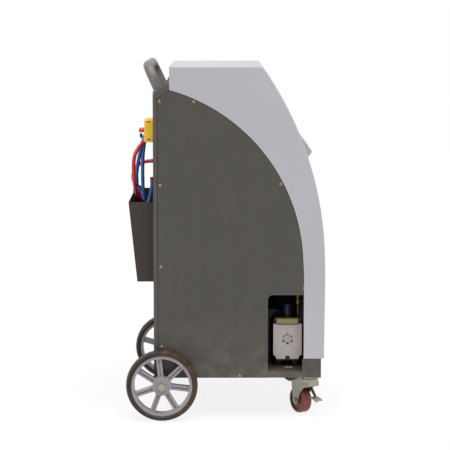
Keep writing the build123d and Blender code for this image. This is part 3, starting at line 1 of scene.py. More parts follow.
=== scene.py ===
import bmesh
import bpy
import numpy as np
from math import cos, pi, radians, sin
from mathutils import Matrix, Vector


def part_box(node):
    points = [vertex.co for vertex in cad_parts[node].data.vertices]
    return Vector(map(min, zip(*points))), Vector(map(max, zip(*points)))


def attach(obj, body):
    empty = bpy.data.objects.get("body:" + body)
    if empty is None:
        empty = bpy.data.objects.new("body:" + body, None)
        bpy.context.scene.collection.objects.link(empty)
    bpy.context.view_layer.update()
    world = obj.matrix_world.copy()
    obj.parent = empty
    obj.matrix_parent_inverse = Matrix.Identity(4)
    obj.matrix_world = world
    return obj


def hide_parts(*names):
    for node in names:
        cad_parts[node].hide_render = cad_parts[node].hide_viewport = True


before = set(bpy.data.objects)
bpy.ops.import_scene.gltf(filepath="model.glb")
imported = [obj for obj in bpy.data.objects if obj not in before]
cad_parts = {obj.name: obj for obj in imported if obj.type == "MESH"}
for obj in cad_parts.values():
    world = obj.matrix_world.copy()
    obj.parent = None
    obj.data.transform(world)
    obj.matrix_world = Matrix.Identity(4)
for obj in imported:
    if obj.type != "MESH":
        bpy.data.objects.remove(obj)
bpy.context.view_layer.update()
BODY = "station"
BACK_X = -0.2007


# Shader maths
class Wire:
    """One value in a material. Arithmetic on it adds Math nodes, and node() makes any other node."""

    def __init__(self, tree, socket=None):
        self.tree = tree
        self.socket = socket

    def node(self, kind, settings=None, inputs=None, output=0):
        """Node of a type, with its settings first and then the values or links of its sockets."""
        made = self.tree.nodes.new(kind)
        for name, value in (settings or {}).items():
            if name == "stops":
                ramp = made.color_ramp
                while len(ramp.elements) < len(value):
                    ramp.elements.new(0.5)
                for element, (place, colour) in zip(ramp.elements, value):
                    element.position = place
                    element.color = (*colour, 1.0)
            else:
                setattr(made, name, value)
        for name, value in (inputs or {}).items():
            if isinstance(value, Wire):
                self.tree.links.new(value.socket, made.inputs[name])
            else:
                made.inputs[name].default_value = value
        return Wire(self.tree, made.outputs[output])

    def maths(self, operation, first, second=0.0):
        return self.node("ShaderNodeMath", {"operation": operation}, {0: first, 1: second})

    def __add__(self, other):
        return self.maths("ADD", self, other)

    __radd__ = __add__

    def __sub__(self, other):
        return self.maths("SUBTRACT", self, other)

    def __rsub__(self, other):
        return self.maths("SUBTRACT", other, self)

    def __mul__(self, other):
        return self.maths("MULTIPLY", self, other)

    __rmul__ = __mul__

    def __truediv__(self, other):
        return self.maths("DIVIDE", self, other)

    def __gt__(self, other):
        return self.maths("GREATER_THAN", self, other)

    def __lt__(self, other):
        return self.maths("LESS_THAN", self, other)

    def sine(self):
        return self.maths("SINE", self)

    def clamp(self):
        return self.node("ShaderNodeClamp", None, {0: self})

    def between(self, low, high):
        """0 at low and 1 at high, with a straight ramp between."""
        return ((self - low) / (high - low)).clamp()

    def part(self, index):
        """X, Y or Z of a vector."""
        return self.node("ShaderNodeSeparateXYZ", None, {0: self}, index)


def blend_colour(mask, first, second):
    """Colour that goes from first to second as the mask goes from 0 to 1."""
    def full(colour):
        return colour if isinstance(colour, Wire) else (*colour, 1.0)
    return mask.node("ShaderNodeMix", {"data_type": "RGBA"}, {0: mask, 6: full(first), 7: full(second)}, 2)


def noise(place, scale, detail=2.0, stretch=None):
    """Soft noise from 0 to 1 on a place, stretched by a factor along each axis."""
    if stretch is not None:
        place = place.node("ShaderNodeMapping", None, {"Vector": place, "Scale": stretch})
    return place.node("ShaderNodeTexNoise", None, {"Vector": place, "Scale": scale, "Detail": detail})


def cells(place, scale):
    """Distance to the nearest cell point, for grains and pits."""
    return place.node("ShaderNodeTexVoronoi", None, {"Vector": place, "Scale": scale})


def shade(colour, factor):
    return tuple(min(1.0, part * factor) for part in colour)


def finish(name, pattern, **uniform):
    """Material whose pattern function gives its changing sockets. Uniform values stand on the shader."""
    material = bpy.data.materials.new(name)
    material.use_nodes = True
    tree = material.node_tree
    shader = tree.nodes["Principled BSDF"]
    for socket, value in uniform.items():
        shader.inputs[socket.replace("_", " ")].default_value = value
    place = Wire(tree).node("ShaderNodeTexCoord", None, None, 3)
    changing = pattern(place)
    height = changing.pop("height", None)
    if height is not None:
        wave, depth = height
        bump = place.node("ShaderNodeBump", None, {"Strength": 1.0, "Distance": depth, "Height": wave})
        tree.links.new(bump.socket, shader.inputs["Normal"])
    for socket, value in changing.items():
        tree.links.new(value.socket, shader.inputs[socket])
    return material


# Finishes
def powder_coat(name, colour, roughness=0.5, grain=0.00006, dust=0.0):
    """Sprayed paint: fine orange peel, faint clouds and streaks, and dust that thickens towards the floor."""
    def pattern(place):
        peel = noise(place, 900.0, 1.0)
        speck = noise(place, 2600.0, 0.0)
        cloud = noise(place, 7.0, 3.0)
        streak = noise(place, 5.0, 4.0, (9.0, 9.0, 0.7))
        tone = (cloud * 0.6 + streak * 0.4).between(0.35, 0.65)
        paint = blend_colour(tone, shade(colour, 0.94), shade(colour, 1.06))
        paint = blend_colour((speck > 0.62) * 0.35, paint, shade(colour, 1.35))
        film = noise(place, 26.0, 4.0).between(0.42, 0.72) * (1.0 - place.part(2).between(0.05, 0.32)) * dust
        return {
            "Base Color": blend_colour(film, paint, (0.26, 0.22, 0.17)),
            "Roughness": roughness + (cloud - 0.5) * 0.12 + film * 0.3,
            "height": (peel * 0.8 + speck * 0.2, grain),
        }
    return finish(name, pattern, Metallic=0.0, Coat_Weight=0.12, Coat_Roughness=0.35)


def moulded_shell(name, colour, roughness=0.42, dust=0.25):
    """Painted plastic: a very fine even texture, faint shine variation and a few pale scuffs low down."""
    def pattern(place):
        stipple = noise(place, 1500.0, 1.0)
        wave = noise(place, 3.5, 1.0)
        scuff = noise(place, 60.0, 5.0, (0.25, 1.0, 3.0)).between(0.68, 0.75)
        low = 1.0 - place.part(2).between(0.15, 0.5)
        tone = blend_colour(wave.between(0.3, 0.7), shade(colour, 0.975), shade(colour, 1.025))
        return {
            "Base Color": blend_colour(scuff * low * dust, tone, shade(colour, 0.72)),
            "Roughness": roughness + (wave - 0.5) * 0.1 + scuff * 0.15,
            "height": (stipple, 0.00003),
        }
    return finish(name, pattern, Coat_Weight=0.2, Coat_Roughness=0.25)


def moulded_plastic(name, colour, roughness=0.4, texture=0.00004, coat=0.1):
    """Moulded plastic: fine spark texture, slight tone changes and a duller film in patches."""
    def pattern(place):
        spark = noise(place, 1800.0, 2.0)
        patch = noise(place, 40.0, 3.0)
        return {
            "Base Color": blend_colour(patch.between(0.3, 0.7), shade(colour, 0.92), shade(colour, 1.06)),
            "Roughness": roughness + (patch - 0.5) * 0.25,
            "height": (spark, texture),
        }
    return finish(name, pattern, Coat_Weight=coat, Coat_Roughness=0.2)


def worn_tyre(name, colour, dust_colour):
    """Tyre rubber: dark, with dry dust rubbed on in long patches, tiny pits and scratches across."""
    def pattern(place):
        pits = cells(place, 1300.0)
        rubbed = noise(place, 22.0, 6.0, (1.0, 0.5, 1.0)).between(0.46, 0.68)
        fine = noise(place, 160.0, 5.0, (1.0, 0.2, 1.0)).between(0.35, 0.75)
        dust = rubbed * (0.35 + fine * 0.65)
        cloud = noise(place, 9.0, 2.0).between(0.35, 0.65)
        rubber = blend_colour(cloud, shade(colour, 0.75), shade(colour, 1.2))
        return {
            "Base Color": blend_colour(dust * 0.75, rubber, dust_colour),
            "Roughness": 0.55 + dust * 0.35,
            "height": (pits * 0.5 + fine * 0.5, 0.00012),
        }
    return finish(name, pattern, Specular_IOR_Level=0.4)


def poured_tread(name, colour):
    """Caster tread: tough rubber with a soft shine, turning rings and dirt rolled into it."""
    def pattern(place):
        dirt = noise(place, 70.0, 5.0).between(0.5, 0.72)
        tone = blend_colour(noise(place, 30.0, 2.0), shade(colour, 0.75), shade(colour, 1.3))
        return {
            "Base Color": blend_colour(dirt * 0.5, tone, (0.10, 0.075, 0.06)),
            "Roughness": 0.32 + dirt * 0.35,
            "height": (noise(place, 500.0, 3.0), 0.00008),
        }
    return finish(name, pattern, Coat_Weight=0.25, Coat_Roughness=0.2)


def plated_steel(name, colour, warm, roughness=0.34):
    """Zinc plating: patches of blue and yellow tint, brushed lines, dull spots and grime in the low places."""
    def pattern(place):
        tint = noise(place, 55.0, 4.0).between(0.35, 0.65)
        spangle = cells(place, 260.0)
        spot = noise(place, 240.0, 5.0).between(0.6, 0.72)
        lines = noise(place, 500.0, 2.0, (1.0, 1.0, 0.08))
        metal = blend_colour(tint, colour, warm)
        metal = blend_colour(spangle * 0.35, metal, shade(colour, 1.25))
        return {
            "Base Color": blend_colour(spot * 0.55, metal, (0.12, 0.10, 0.08)),
            "Roughness": roughness + spot * 0.3 + (lines - 0.5) * 0.2,
            "Metallic": 0.92 - spot * 0.5,
            "height": (lines * 0.5 + spangle * 0.5, 0.00005),
        }
    return finish(name, pattern)


def cast_metal(name, colour, roughness=0.5, metallic=0.6):
    """Sand cast metal with clear paint: grainy skin, faint flow clouds and darker pores."""
    def pattern(place):
        grain = noise(place, 1100.0, 4.0)
        pore = cells(place, 420.0)
        cloud = noise(place, 38.0, 3.0)
        tone = blend_colour(cloud.between(0.3, 0.7), shade(colour, 0.93), shade(colour, 1.07))
        return {
            "Base Color": blend_colour((pore < 0.12) * 0.4, tone, shade(colour, 0.5)),
            "Roughness": roughness + (cloud - 0.5) * 0.2,
            "height": (grain * 0.7 + pore * 0.3, 0.00014),
        }
    return finish(name, pattern, Metallic=metallic)


def soft_metal(name, colour, tarnish, roughness=0.28):
    """Brass or copper: bright drawn metal with tarnish in clouds and fingerprints that dull it."""
    def pattern(place):
        old = noise(place, 60.0, 5.0).between(0.42, 0.66)
        drawn = noise(place, 700.0, 2.0, (1.0, 0.1, 1.0))
        return {
            "Base Color": blend_colour(old, colour, tarnish),
            "Roughness": roughness + old * 0.25 + (drawn - 0.5) * 0.15,
            "height": (drawn, 0.00003),
        }
    return finish(name, pattern, Metallic=1.0)


def hose_rubber(name, colour):
    """Service hose: smooth cover with a soft shine, faint pricked dots, rubbed streaks and workshop grime."""
    def pattern(place):
        prick = cells(place, 520.0)
        grime = noise(place, 45.0, 5.0).between(0.52, 0.75)
        cloud = noise(place, 14.0, 2.0).between(0.3, 0.7)
        tone = blend_colour(cloud, shade(colour, 0.85), shade(colour, 1.15))
        return {
            "Base Color": blend_colour(grime * 0.3, tone, shade(colour, 0.4)),
            "Roughness": 0.36 + grime * 0.25,
            "height": (prick.between(0.0, 0.25), 0.00002),
        }
    return finish(name, pattern, Coat_Weight=0.3, Coat_Roughness=0.25)


def clear_glass(name, colour, roughness=0.04, through=0.95):
    """Glass or clear plastic with faint wipe marks in its shine."""
    def pattern(place):
        wipe = noise(place, 90.0, 4.0, (1.0, 0.3, 1.0))
        return {"Roughness": roughness + wipe.between(0.5, 0.8) * 0.08}
    return finish(name, pattern, Base_Color=(*colour, 1.0), Transmission_Weight=through, IOR=1.45)


def screen_glass(name):
    """Unlit display: dark blue-green glass with the faint dot rows of its cells."""
    def pattern(place):
        row = (place.part(2) * 5200.0).sine() * 0.5 + 0.5
        column = (place.part(1) * 4200.0).sine() * 0.5 + 0.5
        dots = (row * column).between(0.3, 0.9)
        return {
            "Base Color": blend_colour(dots * 0.5, (0.015, 0.035, 0.04), (0.05, 0.11, 0.11)),
            "Roughness": 0.08 + noise(place, 70.0, 3.0).between(0.5, 0.8) * 0.12,
        }
    return finish(name, pattern, Coat_Weight=0.6, Coat_Roughness=0.05)


def finned_block(name, colour):
    """Aluminium fins packed along Y between tubes, with dust caught on their edges; the dark stripes between
    them are painted shade in the gaps.
    """
    def pattern(place):
        fins = (place.part(1) * 2.0 * pi / 0.0021).sine() * 0.5 + 0.5
        dust = noise(place, 35.0, 4.0).between(0.45, 0.75)
        return {
            # Darker troughs of the sine are painted shade in the gaps between fins
            "Base Color": blend_colour(fins, shade(colour, 0.35), colour),
            "Roughness": 0.35 + dust * 0.35,
            "height": (fins, 0.0005),
        }
    return finish(name, pattern, Metallic=0.8)


def printed_card(name, upper, lower, level):
    """Bare printed strip: one colour above a height and another below, slightly soiled."""
    def pattern(place):
        soil = noise(place, 200.0, 4.0).between(0.5, 0.8)
        bands = blend_colour(place.part(2) > level, lower, upper)
        return {
            "Base Color": blend_colour(soil * 0.35, bands, (0.2, 0.17, 0.12)),
            "Roughness": 0.45 + soil * 0.2,
        }
    return finish(name, pattern)


side_grey = powder_coat("side grey paint", (0.050, 0.045, 0.037), dust=0.3)
strip_grey = powder_coat("strip grey paint", (0.060, 0.055, 0.048), dust=0.3)
# Darker and browner than the side grey: the basket's paint with the shade it stands in painted into its colour
basket_shaded_grey = powder_coat("basket grey paint with painted shade", (0.027, 0.018, 0.010), 0.55)
handle_grey = powder_coat("handle grey paint", (0.155, 0.143, 0.135), 0.45, 0.00009)
inner_grey = powder_coat("inner grey paint", (0.045, 0.038, 0.031), 0.6, dust=0.5)
bottle_paint = powder_coat("bottle paint", (0.22, 0.32, 0.37), 0.4)
pot_black = powder_coat("compressor black", (0.022, 0.021, 0.020), 0.4)
cover_pale = moulded_shell("cover pale grey", (0.392, 0.385, 0.414))
panel_dark = moulded_plastic("control panel grey", (0.060, 0.062, 0.068), 0.45)
black_plastic = moulded_plastic("black plastic", (0.020, 0.019, 0.018), 0.42)
yellow_plastic = moulded_plastic("yellow plastic", (0.93, 0.55, 0.005), 0.32, 0.00003, 0.4)
red_plastic = moulded_plastic("red plastic", (0.56, 0.035, 0.022), 0.35, 0.00003, 0.3)
blue_plastic = moulded_plastic("blue plastic", (0.02, 0.08, 0.32), 0.35, 0.00003, 0.3)
filler_blue = moulded_plastic("filler cap blue", (0.006, 0.007, 0.032), 0.5)
bottle_plastic = moulded_plastic("milky plastic", (0.70, 0.70, 0.62), 0.38)
dial_white = moulded_plastic("dial white", (0.82, 0.82, 0.79), 0.5)
key_grey = moulded_plastic("keypad grey", (0.30, 0.31, 0.33), 0.5)
rim_lilac = moulded_plastic("rim grey", (0.270, 0.244, 0.272), 0.42, 0.00008, 0.15)
tyre_brown = worn_tyre("tyre rubber", (0.024, 0.014, 0.008), (0.150, 0.090, 0.048))
tread_red = poured_tread("caster tread", (0.190, 0.026, 0.020))
zinc = plated_steel("zinc plate", (0.34, 0.34, 0.31), (0.37, 0.33, 0.24))
yellow_zinc = plated_steel("yellow zinc", (0.36, 0.26, 0.11), (0.42, 0.26, 0.14), 0.38)
nickel = plated_steel("nickel ring", (0.60, 0.60, 0.58), (0.58, 0.56, 0.50), 0.22)
pump_cast = cast_metal("pump casting", (0.62, 0.555, 0.535), 0.48, 0.1)
pump_dark = cast_metal("pump body casting", (0.085, 0.072, 0.062), 0.6, 0.2)
brass = soft_metal("brass", (0.30, 0.17, 0.04), (0.10, 0.055, 0.02))
copper = soft_metal("copper", (0.17, 0.075, 0.04), (0.07, 0.035, 0.025))
red_rubber = hose_rubber("red hose rubber", (0.52, 0.016, 0.024))
blue_rubber = hose_rubber("blue hose rubber", (0.014, 0.100, 0.38))
lens_glass = clear_glass("gauge lens", (0.98, 0.99, 0.98))
oil_glass = clear_glass("oil sight glass", (0.80, 0.85, 0.72), 0.08, 0.35)
screen = screen_glass("display glass")
fins = finned_block("condenser fins", (0.62, 0.62, 0.64))
# Dark red of the clips: partly their own red, partly painted shade of the slots they sit in
clip_red_and_shade = moulded_plastic("clip red with painted shade", (0.22, 0.014, 0.010), 0.5)
# Near black for the ribbons that paint the shade in the side panel seams
seam_shade_black = moulded_plastic("seam shade black", (0.010, 0.008, 0.006), 0.7)
card = printed_card("bare pump card", (0.72, 0.56, 0.04), (0.66, 0.64, 0.60), 0.2604)

node_finishes = {
    side_grey: ("side_panel_right", "side_panel_left", "base_tray", "front_plinth"),
    strip_grey: ("rear_panel",),
    basket_shaded_grey: ("hose_basket", "coupler_holder"),
    handle_grey: ("pull_handle",),
    inner_grey: ("equipment_shelf", "electronics_box"),
    bottle_paint: ("refrigerant_tank",),
    pot_black: ("compressor", "fan_frame"),
    cover_pale: ("front_cover",),
    panel_dark: ("control_panel",),
    black_plastic: ("power_inlet", "fan_rotor", "high_coupler", "low_coupler"),
    yellow_plastic: ("switch_housing",),
    red_plastic: ("switch_knob", "high_needle", "high_coupler_knob"),
    blue_plastic: ("low_needle", "low_coupler_knob"),
    filler_blue: ("pump_filler_cap",),
    bottle_plastic: ("oil_bottles", "filter_driers"),
    dial_white: ("gauge_dials",),
    key_grey: ("keypad",),
    rim_lilac: ("rear_rim_right", "rear_rim_left"),
    tyre_brown: ("rear_tyre_right", "rear_tyre_left"),
    tread_red: ("caster_wheel_right", "caster_wheel_left"),
    zinc: ("axle", "axle_brackets", "caster_plates", "scale", "caster_fork_right", "caster_fork_left",
           "brake_pedal_right", "brake_pedal_left", "hex_bolts"),
    yellow_zinc: ("panel_screws",),
    nickel: ("gauge_cases",),
    pump_cast: ("pump_cover",),
    pump_dark: ("vacuum_pump",),
    brass: ("valve_manifold", "hose_ports"),
    copper: ("copper_pipes",),
    lens_glass: ("gauge_lenses",),
    oil_glass: ("pump_sight_glass",),
    screen: ("display",),
    fins: ("condenser",),
}
for material, names in node_finishes.items():
    for name in names:
        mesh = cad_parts[name].data
        mesh.materials.clear()
        mesh.materials.append(material)


# Service hoses: the same points as the model's tubes, with the turns in the basket as more points
RED_DOWN = (
    (-0.2047, 0.15, 0.69), (-0.2307, 0.15, 0.69), (-0.2527, 0.15, 0.685), (-0.2687, 0.1505, 0.6715),
    (-0.2777, 0.151, 0.651), (-0.2762, 0.152, 0.6295), (-0.2662, 0.1535, 0.61), (-0.2567, 0.156, 0.59),
    (-0.2487, 0.1605, 0.567), (-0.2427, 0.168, 0.541), (-0.2387, 0.1743, 0.509),
)
RED_UP = (
    (-0.2127, 0.0355, 0.509), (-0.2117, 0.0345, 0.528), (-0.2122, 0.027, 0.547), (-0.2137, 0.011, 0.562),
    (-0.2187, -0.013, 0.572), (-0.2287, -0.04, 0.581), (-0.2417, -0.069, 0.594), (-0.2517, -0.094, 0.611),
    (-0.2577, -0.111, 0.635), (-0.2607, -0.118, 0.663), (-0.2617, -0.118, 0.692), (-0.2607, -0.116, 0.718),
    (-0.2547, -0.107, 0.74), (-0.2397, -0.0879, 0.7596), (-0.2267, -0.0825, 0.7708),
)
BLUE_DOWN = (
    (-0.2079, -0.128, 0.658), (-0.2079, -0.128, 0.644), (-0.2112, -0.129, 0.627), (-0.2157, -0.134, 0.609),
    (-0.2217, -0.143, 0.587), (-0.2277, -0.154, 0.561), (-0.2337, -0.166, 0.532), (-0.2367, -0.1735, 0.507),
)
BLUE_UP = (
    (-0.2147, -0.0355, 0.507), (-0.2197, -0.035, 0.527), (-0.2287, -0.027, 0.55), (-0.2367, -0.012, 0.575),
    (-0.2402, 0.005, 0.602), (-0.2417, 0.02, 0.633), (-0.2427, 0.032, 0.667), (-0.2427, 0.041, 0.696),
    (-0.2417, 0.0435, 0.72), (-0.2387, 0.0408, 0.745), (-0.2337, 0.0276, 0.768), (-0.2307, 0.0047, 0.7813),
    (-0.2317, -0.0217, 0.7813), (-0.2367, -0.0446, 0.768), (-0.2427, -0.0578, 0.745), (-0.2487, -0.06, 0.716),
    (-0.2537, -0.06, 0.69), (-0.2566, -0.0598, 0.663), (-0.2556, -0.0598, 0.643),
)
HOSE = 0.011
COIL_RADIUS = 0.0695
COIL_LOW, COIL_HIGH = 0.459, 0.479
COIL_START_X, COIL_TURN = -0.2372, 0.0111


def coil_turns(middle_y, outer_side):
    """Points of two and a half turns: half circles below and above a straight, a hose width on each turn."""
    points = []
    for half in range(5):
        for step in range(9):
            angle = pi * step / 8
            turned = (half + step / 8) / 2
            way = 1 if half % 2 == 0 else -1
            y = middle_y + outer_side * way * COIL_RADIUS * cos(angle)
            z = (COIL_LOW if half % 2 == 0 else COIL_HIGH) - way * COIL_RADIUS * sin(angle)
            points.append((COIL_START_X + COIL_TURN * turned, y, z))
    return points


def lay_hose(name, points, material):
    """Smooth round hose along one open spline through the route."""
    line = bpy.data.curves.new(name, "CURVE")
    line.dimensions = "3D"
    line.bevel_depth = HOSE / 2
    line.bevel_resolution = 5
    line.resolution_u = 6
    line.use_fill_caps = True
    spline = line.splines.new("NURBS")
    spline.points.add(len(points) - 1)
    for knot, point in zip(spline.points, points):
        knot.co = (*point, 1.0)
    spline.order_u = 3
    spline.use_endpoint_u = True
    hose = bpy.data.objects.new(name, line)
    bpy.context.collection.objects.link(hose)
    line.materials.append(material)
    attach(hose, BODY)
    return hose


red_hose = lay_hose("red_service_hose", (*RED_DOWN, *coil_turns(0.105, 1), *RED_UP), red_rubber)
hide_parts("red_hose", "red_hose_coil")
blue_hose = lay_hose("blue_service_hose", (*BLUE_DOWN, *coil_turns(-0.105, -1), *BLUE_UP),
                     blue_rubber)
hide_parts("blue_hose", "blue_hose_coil")


# Surfaces on grids
def grid_piece(name, grids, material, body=BODY, smooth=True):
    """One mesh from grids of points, each rows by columns by 3, joined to the next row and column."""
    corners, faces, start = [], [], 0
    for grid in grids:
        rows, columns = grid.shape[:2]
        index = start + np.arange(rows * columns).reshape(rows, columns)
        quads = [index[:-1, :-1], index[1:, :-1], index[1:, 1:], index[:-1, 1:]]
        faces.append(np.stack(quads, -1).reshape(-1, 4))
        corners.append(grid.reshape(-1, 3))
        start += rows * columns
    mesh = bpy.data.meshes.new(name)
    mesh.from_pydata(np.concatenate(corners).tolist(), [], np.concatenate(faces).tolist())
    made = bmesh_cleaned(mesh)
    piece = bpy.data.objects.new(name, made)
    bpy.context.collection.objects.link(piece)
    made.materials.append(material)
    if smooth:
        made.shade_smooth()
        made.set_sharp_from_angle(angle=radians(38))
    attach(piece, body)
    return piece


def bmesh_cleaned(mesh):
    """Doubles merged, empty faces dropped and faces turned outwards."""
    work = bmesh.new()
    work.from_mesh(mesh)
    bmesh.ops.remove_doubles(work, verts=work.verts, dist=1e-6)
    bmesh.ops.dissolve_degenerate(work, dist=1e-7, edges=work.edges)
    bmesh.ops.recalc_face_normals(work, faces=work.faces)
    work.to_mesh(mesh)
    work.free()
    return mesh


def across(direction):
    """Two unit vectors square to a direction and to each other."""
    direction = np.asarray(direction, float) / np.linalg.norm(direction)
    helper = np.array([0.0, 0.0, 1.0]) if abs(direction[2]) < 0.8 else np.array([1.0, 0.0, 0.0])
    first = np.cross(helper, direction)
    first /= np.linalg.norm(first)
    return direction, first, np.cross(direction, first)


def turned(start, direction, profile, steps=32):
    """Grid of a turned shape: each (distance, radius) of the profile is a circle round the axis."""
    along, first, second = across(direction)
    profile = np.asarray(profile, float)
    angle = np.linspace(0.0, 2.0 * pi, steps + 1)
    ring = np.cos(angle)[:, None] * first + np.sin(angle)[:, None] * second
    return np.asarray(start, float) + profile[:, 0, None, None] * along + profile[:, 1, None, None] * ring[None]


def slab(low, high, axes=None, origin=(0.0, 0.0, 0.0)):
    """Grids of the six sides of a box between two corners, along the given axes."""
    axes = np.eye(3) if axes is None else np.asarray(axes, float)
    low, high = np.asarray(low, float), np.asarray(high, float)
    grids = []
    for axis in range(3):
        one, two = [side for side in range(3) if side != axis]
        for value in (low[axis], high[axis]):
            grid = np.zeros((2, 2, 3))
            grid[..., axis] = value
            grid[..., one] = np.array([[low[one]] * 2, [high[one]] * 2])
            grid[..., two] = np.array([[low[two], high[two]]] * 2)
            grids.append(grid @ axes + np.asarray(origin, float))
    return grids


# Ribbed boots where the hoses meet their couplers and ports
def boot_profile(length, radius):
    """Sleeve with a thin lip at each end and three grooves between."""
    spots = [(0.0, HOSE / 2 - 0.0004), (0.0, radius), (0.001, radius + 0.0005), (0.002, radius)]
    for number in range(3):
        middle = length * (0.28 + 0.22 * number)
        spots += [(middle - 0.0014, radius), (middle - 0.0007, radius - 0.0008),
                  (middle + 0.0007, radius - 0.0008),
                  (middle + 0.0014, radius)]
    return spots + [(length - 0.0015, radius), (length, radius - 0.0007), (length, HOSE / 2 - 0.0004)]


def hose_boot(name, end, inner, material):
    """Boot over the end of a hose, from its last point towards the one before."""
    end, inner = np.asarray(end), np.asarray(inner)
    return grid_piece(name, [turned(end, inner - end, boot_profile(0.018, 0.0066))], material)


red_boots = [hose_boot("red_port_boot", RED_DOWN[0], RED_DOWN[1], red_plastic),
             hose_boot("red_coupler_boot", RED_UP[-1], RED_UP[-2], red_plastic)]
blue_boots = [hose_boot("blue_port_boot", BLUE_DOWN[0], BLUE_DOWN[1], blue_plastic),
              hose_boot("blue_coupler_boot", BLUE_UP[-1], BLUE_UP[-2], blue_plastic)]


# Cross recess in each side panel screw, drawn as painted shade
def screw_cross_shade():
    """Two thin crossed black bars, a hair proud of each screw's head, one pair a screw: painted shade of its
    cross recess.
    """
    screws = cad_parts["panel_screws"].data
    points = np.empty(len(screws.vertices) * 3)
    screws.vertices.foreach_get("co", points)
    points = points.reshape(-1, 3)
    grids = []
    for side in (-1, 1):
        outer = np.abs(points[:, 1]).max()
        tops = points[(points[:, 1] * side > 0) & (np.abs(points[:, 1]) > outer - 0.0002)]
        spots = []
        for top in tops:
            near = [spot for spot in spots if np.hypot(*(spot[0] - top)[[0, 2]]) < 0.012]
            if near:
                near[0].append(top)
            else:
                spots.append([top])
        for number, spot in enumerate(spots):
            middle = np.mean(spot, axis=0)
            angle = 0.7 + 1.9 * number
            one = np.array([cos(angle), 0.0, sin(angle)])
            two = np.array([-sin(angle), 0.0, cos(angle)])
            axes = (one, (0.0, 1.0, 0.0), two)
            origin = (middle[0], side * outer, middle[2])
            grids += slab((-0.0019, -0.0003, -0.0004), (0.0019, 0.00012, 0.0004), axes, origin)
            grids += slab((-0.0004, -0.0003, -0.0019), (0.0004, 0.00012, 0.0019), axes, origin)
    return grids


# Black crosses paint the shade in the screws' cross recesses
grid_piece("screw_recess_shade", screw_cross_shade(), black_plastic, smooth=False)

# Pump: bare card on the front of its oil case, a drain plug, and dark discs round the sight glass that paint
# the shade in its holes
cover_low, cover_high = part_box("pump_cover")
pump_x = (cover_low[0] + cover_high[0]) / 2
grid_piece("pump_card", slab((pump_x - 0.030, cover_high[1] - 0.0005, cover_high[2] - 0.0029),
                             (pump_x + 0.029, cover_high[1] + 0.0003, cover_high[2] + 0.0125)),
           card, smooth=False)
PLUG = ((0.0, 0.0), (0.0, 0.0062), (0.0050, 0.0062), (0.0062, 0.0052), (0.0062, 0.0030),
        (0.0050, 0.0030), (0.0050, 0.0))
plug_start = (pump_x, cover_low[1] + 0.0085, cover_low[2] + 0.003)
grid_piece("drain_plug", [turned(plug_start, (0.0, -1.0, 0.0), PLUG)],
           black_plastic)


def glass_hole_shade():
    """Six flat dark discs on a circle round the sight glass, the lower three larger: painted shade in the holes
    there.
    """
    low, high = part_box("pump_sight_glass")
    middle = (np.asarray(low) + np.asarray(high)) / 2
    grids = []
    for number in range(6):
        angle = radians(60 * number + 90)
        size = 0.0020 if sin(angle) > -0.1 else 0.0027
        start = (middle[0] + 0.0143 * cos(angle), cover_low[1] + 0.0019, middle[2] + 0.0143 * sin(angle))
        head = ((0.0, 0.0), (0.0, size), (0.0021, size), (0.0021, 0.0))
        grids.append(turned(start, (0.0, -1.0, 0.0), head, 16))
    return grids


# Dark discs paint the shade inside the six holes round the sight glass
grid_piece("sight_glass_hole_shade", glass_hole_shade(), black_plastic, smooth=False)


# Red clips in the slots of the switch housing, their dark red partly painted shade of the slots
def switch_clips():
    """Block in each of the four slots, a little below the housing's face."""
    low, high = (np.asarray(corner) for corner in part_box("switch_housing"))
    middle = (low + high) / 2
    grids = []
    for side, face in ((1, low[1]), (-1, high[1])):
        ends = sorted((face + side * 0.0003, face + side * 0.0029))
        for z in (low[2] + 0.008, high[2] - 0.008):
            grids += slab((middle[0] - 0.0049, ends[0], z - 0.0017), (middle[0] + 0.0049, ends[1], z + 0.0017))
    return grids


grid_piece("switch_clips", switch_clips(), clip_red_and_shade, smooth=False)

# Dark ribbon in the joint round each side panel: painted shade in the gap of the seam
SEAM_START = (0.2183, 0.3768)
SEAM_RADII = (1.1516, 0.5081)
SEAM_TURN = 4.86
SEAM_END_X = -0.1552
STRIP_X = -0.1897
SEAM_SHADE_Y = 0.25835
SEAM_SHADE_OUT, SEAM_SHADE_IN = 0.0004, 0.0020
SEAM_SHADE_FOOT_Z = 0.156


def seam_line(inset):
    """Points of the joint under the cover: two arcs that turn from upright to the rear, moved in by inset."""
    first, second = (radius - inset for radius in SEAM_RADII)
    x, z = SEAM_START[0] - inset, SEAM_START[1]
    bend = np.radians(np.linspace(0.0, SEAM_TURN, 8))
    lower = np.stack([x - first + first * np.cos(bend), z + first * np.sin(bend)], -1)
    centre = lower[-1] - second * np.array([cos(bend[-1]), sin(bend[-1])])
    last = np.arccos((SEAM_END_X - centre[0]) / second)
    rest = np.linspace(bend[-1], last, 60)[1:]
    upper = centre + second * np.stack([np.cos(rest), np.sin(rest)], -1)
    return np.concatenate([lower, upper])


def flat_ribbon(edges, side):
    """Grid on a side of the body from the (x, z) points of its two edges, all at the depth of the painted seam
    shade.
    """
    y = np.full(edges.shape[:2] + (1,), side * SEAM_SHADE_Y)
    return np.concatenate([edges[..., :1], y, edges[..., 1:]], -1)


def seam_shade_grids():
    """Flat dark ribbons behind the joints, painted shade in their gaps: cover curve, back strip, and the
    upright end on the left.
    """
    grids = []
    for side in (-1, 1):
        grids.append(flat_ribbon(np.stack([seam_line(-SEAM_SHADE_OUT), seam_line(SEAM_SHADE_IN)]), side))
        back = np.array([[[STRIP_X - 0.0002, z], [STRIP_X + 0.0018, z]] for z in (0.140, 0.899)])
        grids.append(flat_ribbon(back, side))
    front_x = (SEAM_START[0] + SEAM_SHADE_OUT, SEAM_START[0] - SEAM_SHADE_IN)
    front = np.array([[[x, z] for x in front_x] for z in (SEAM_SHADE_FOOT_Z, SEAM_START[1])])
    grids.append(flat_ribbon(front, 1))
    return grids


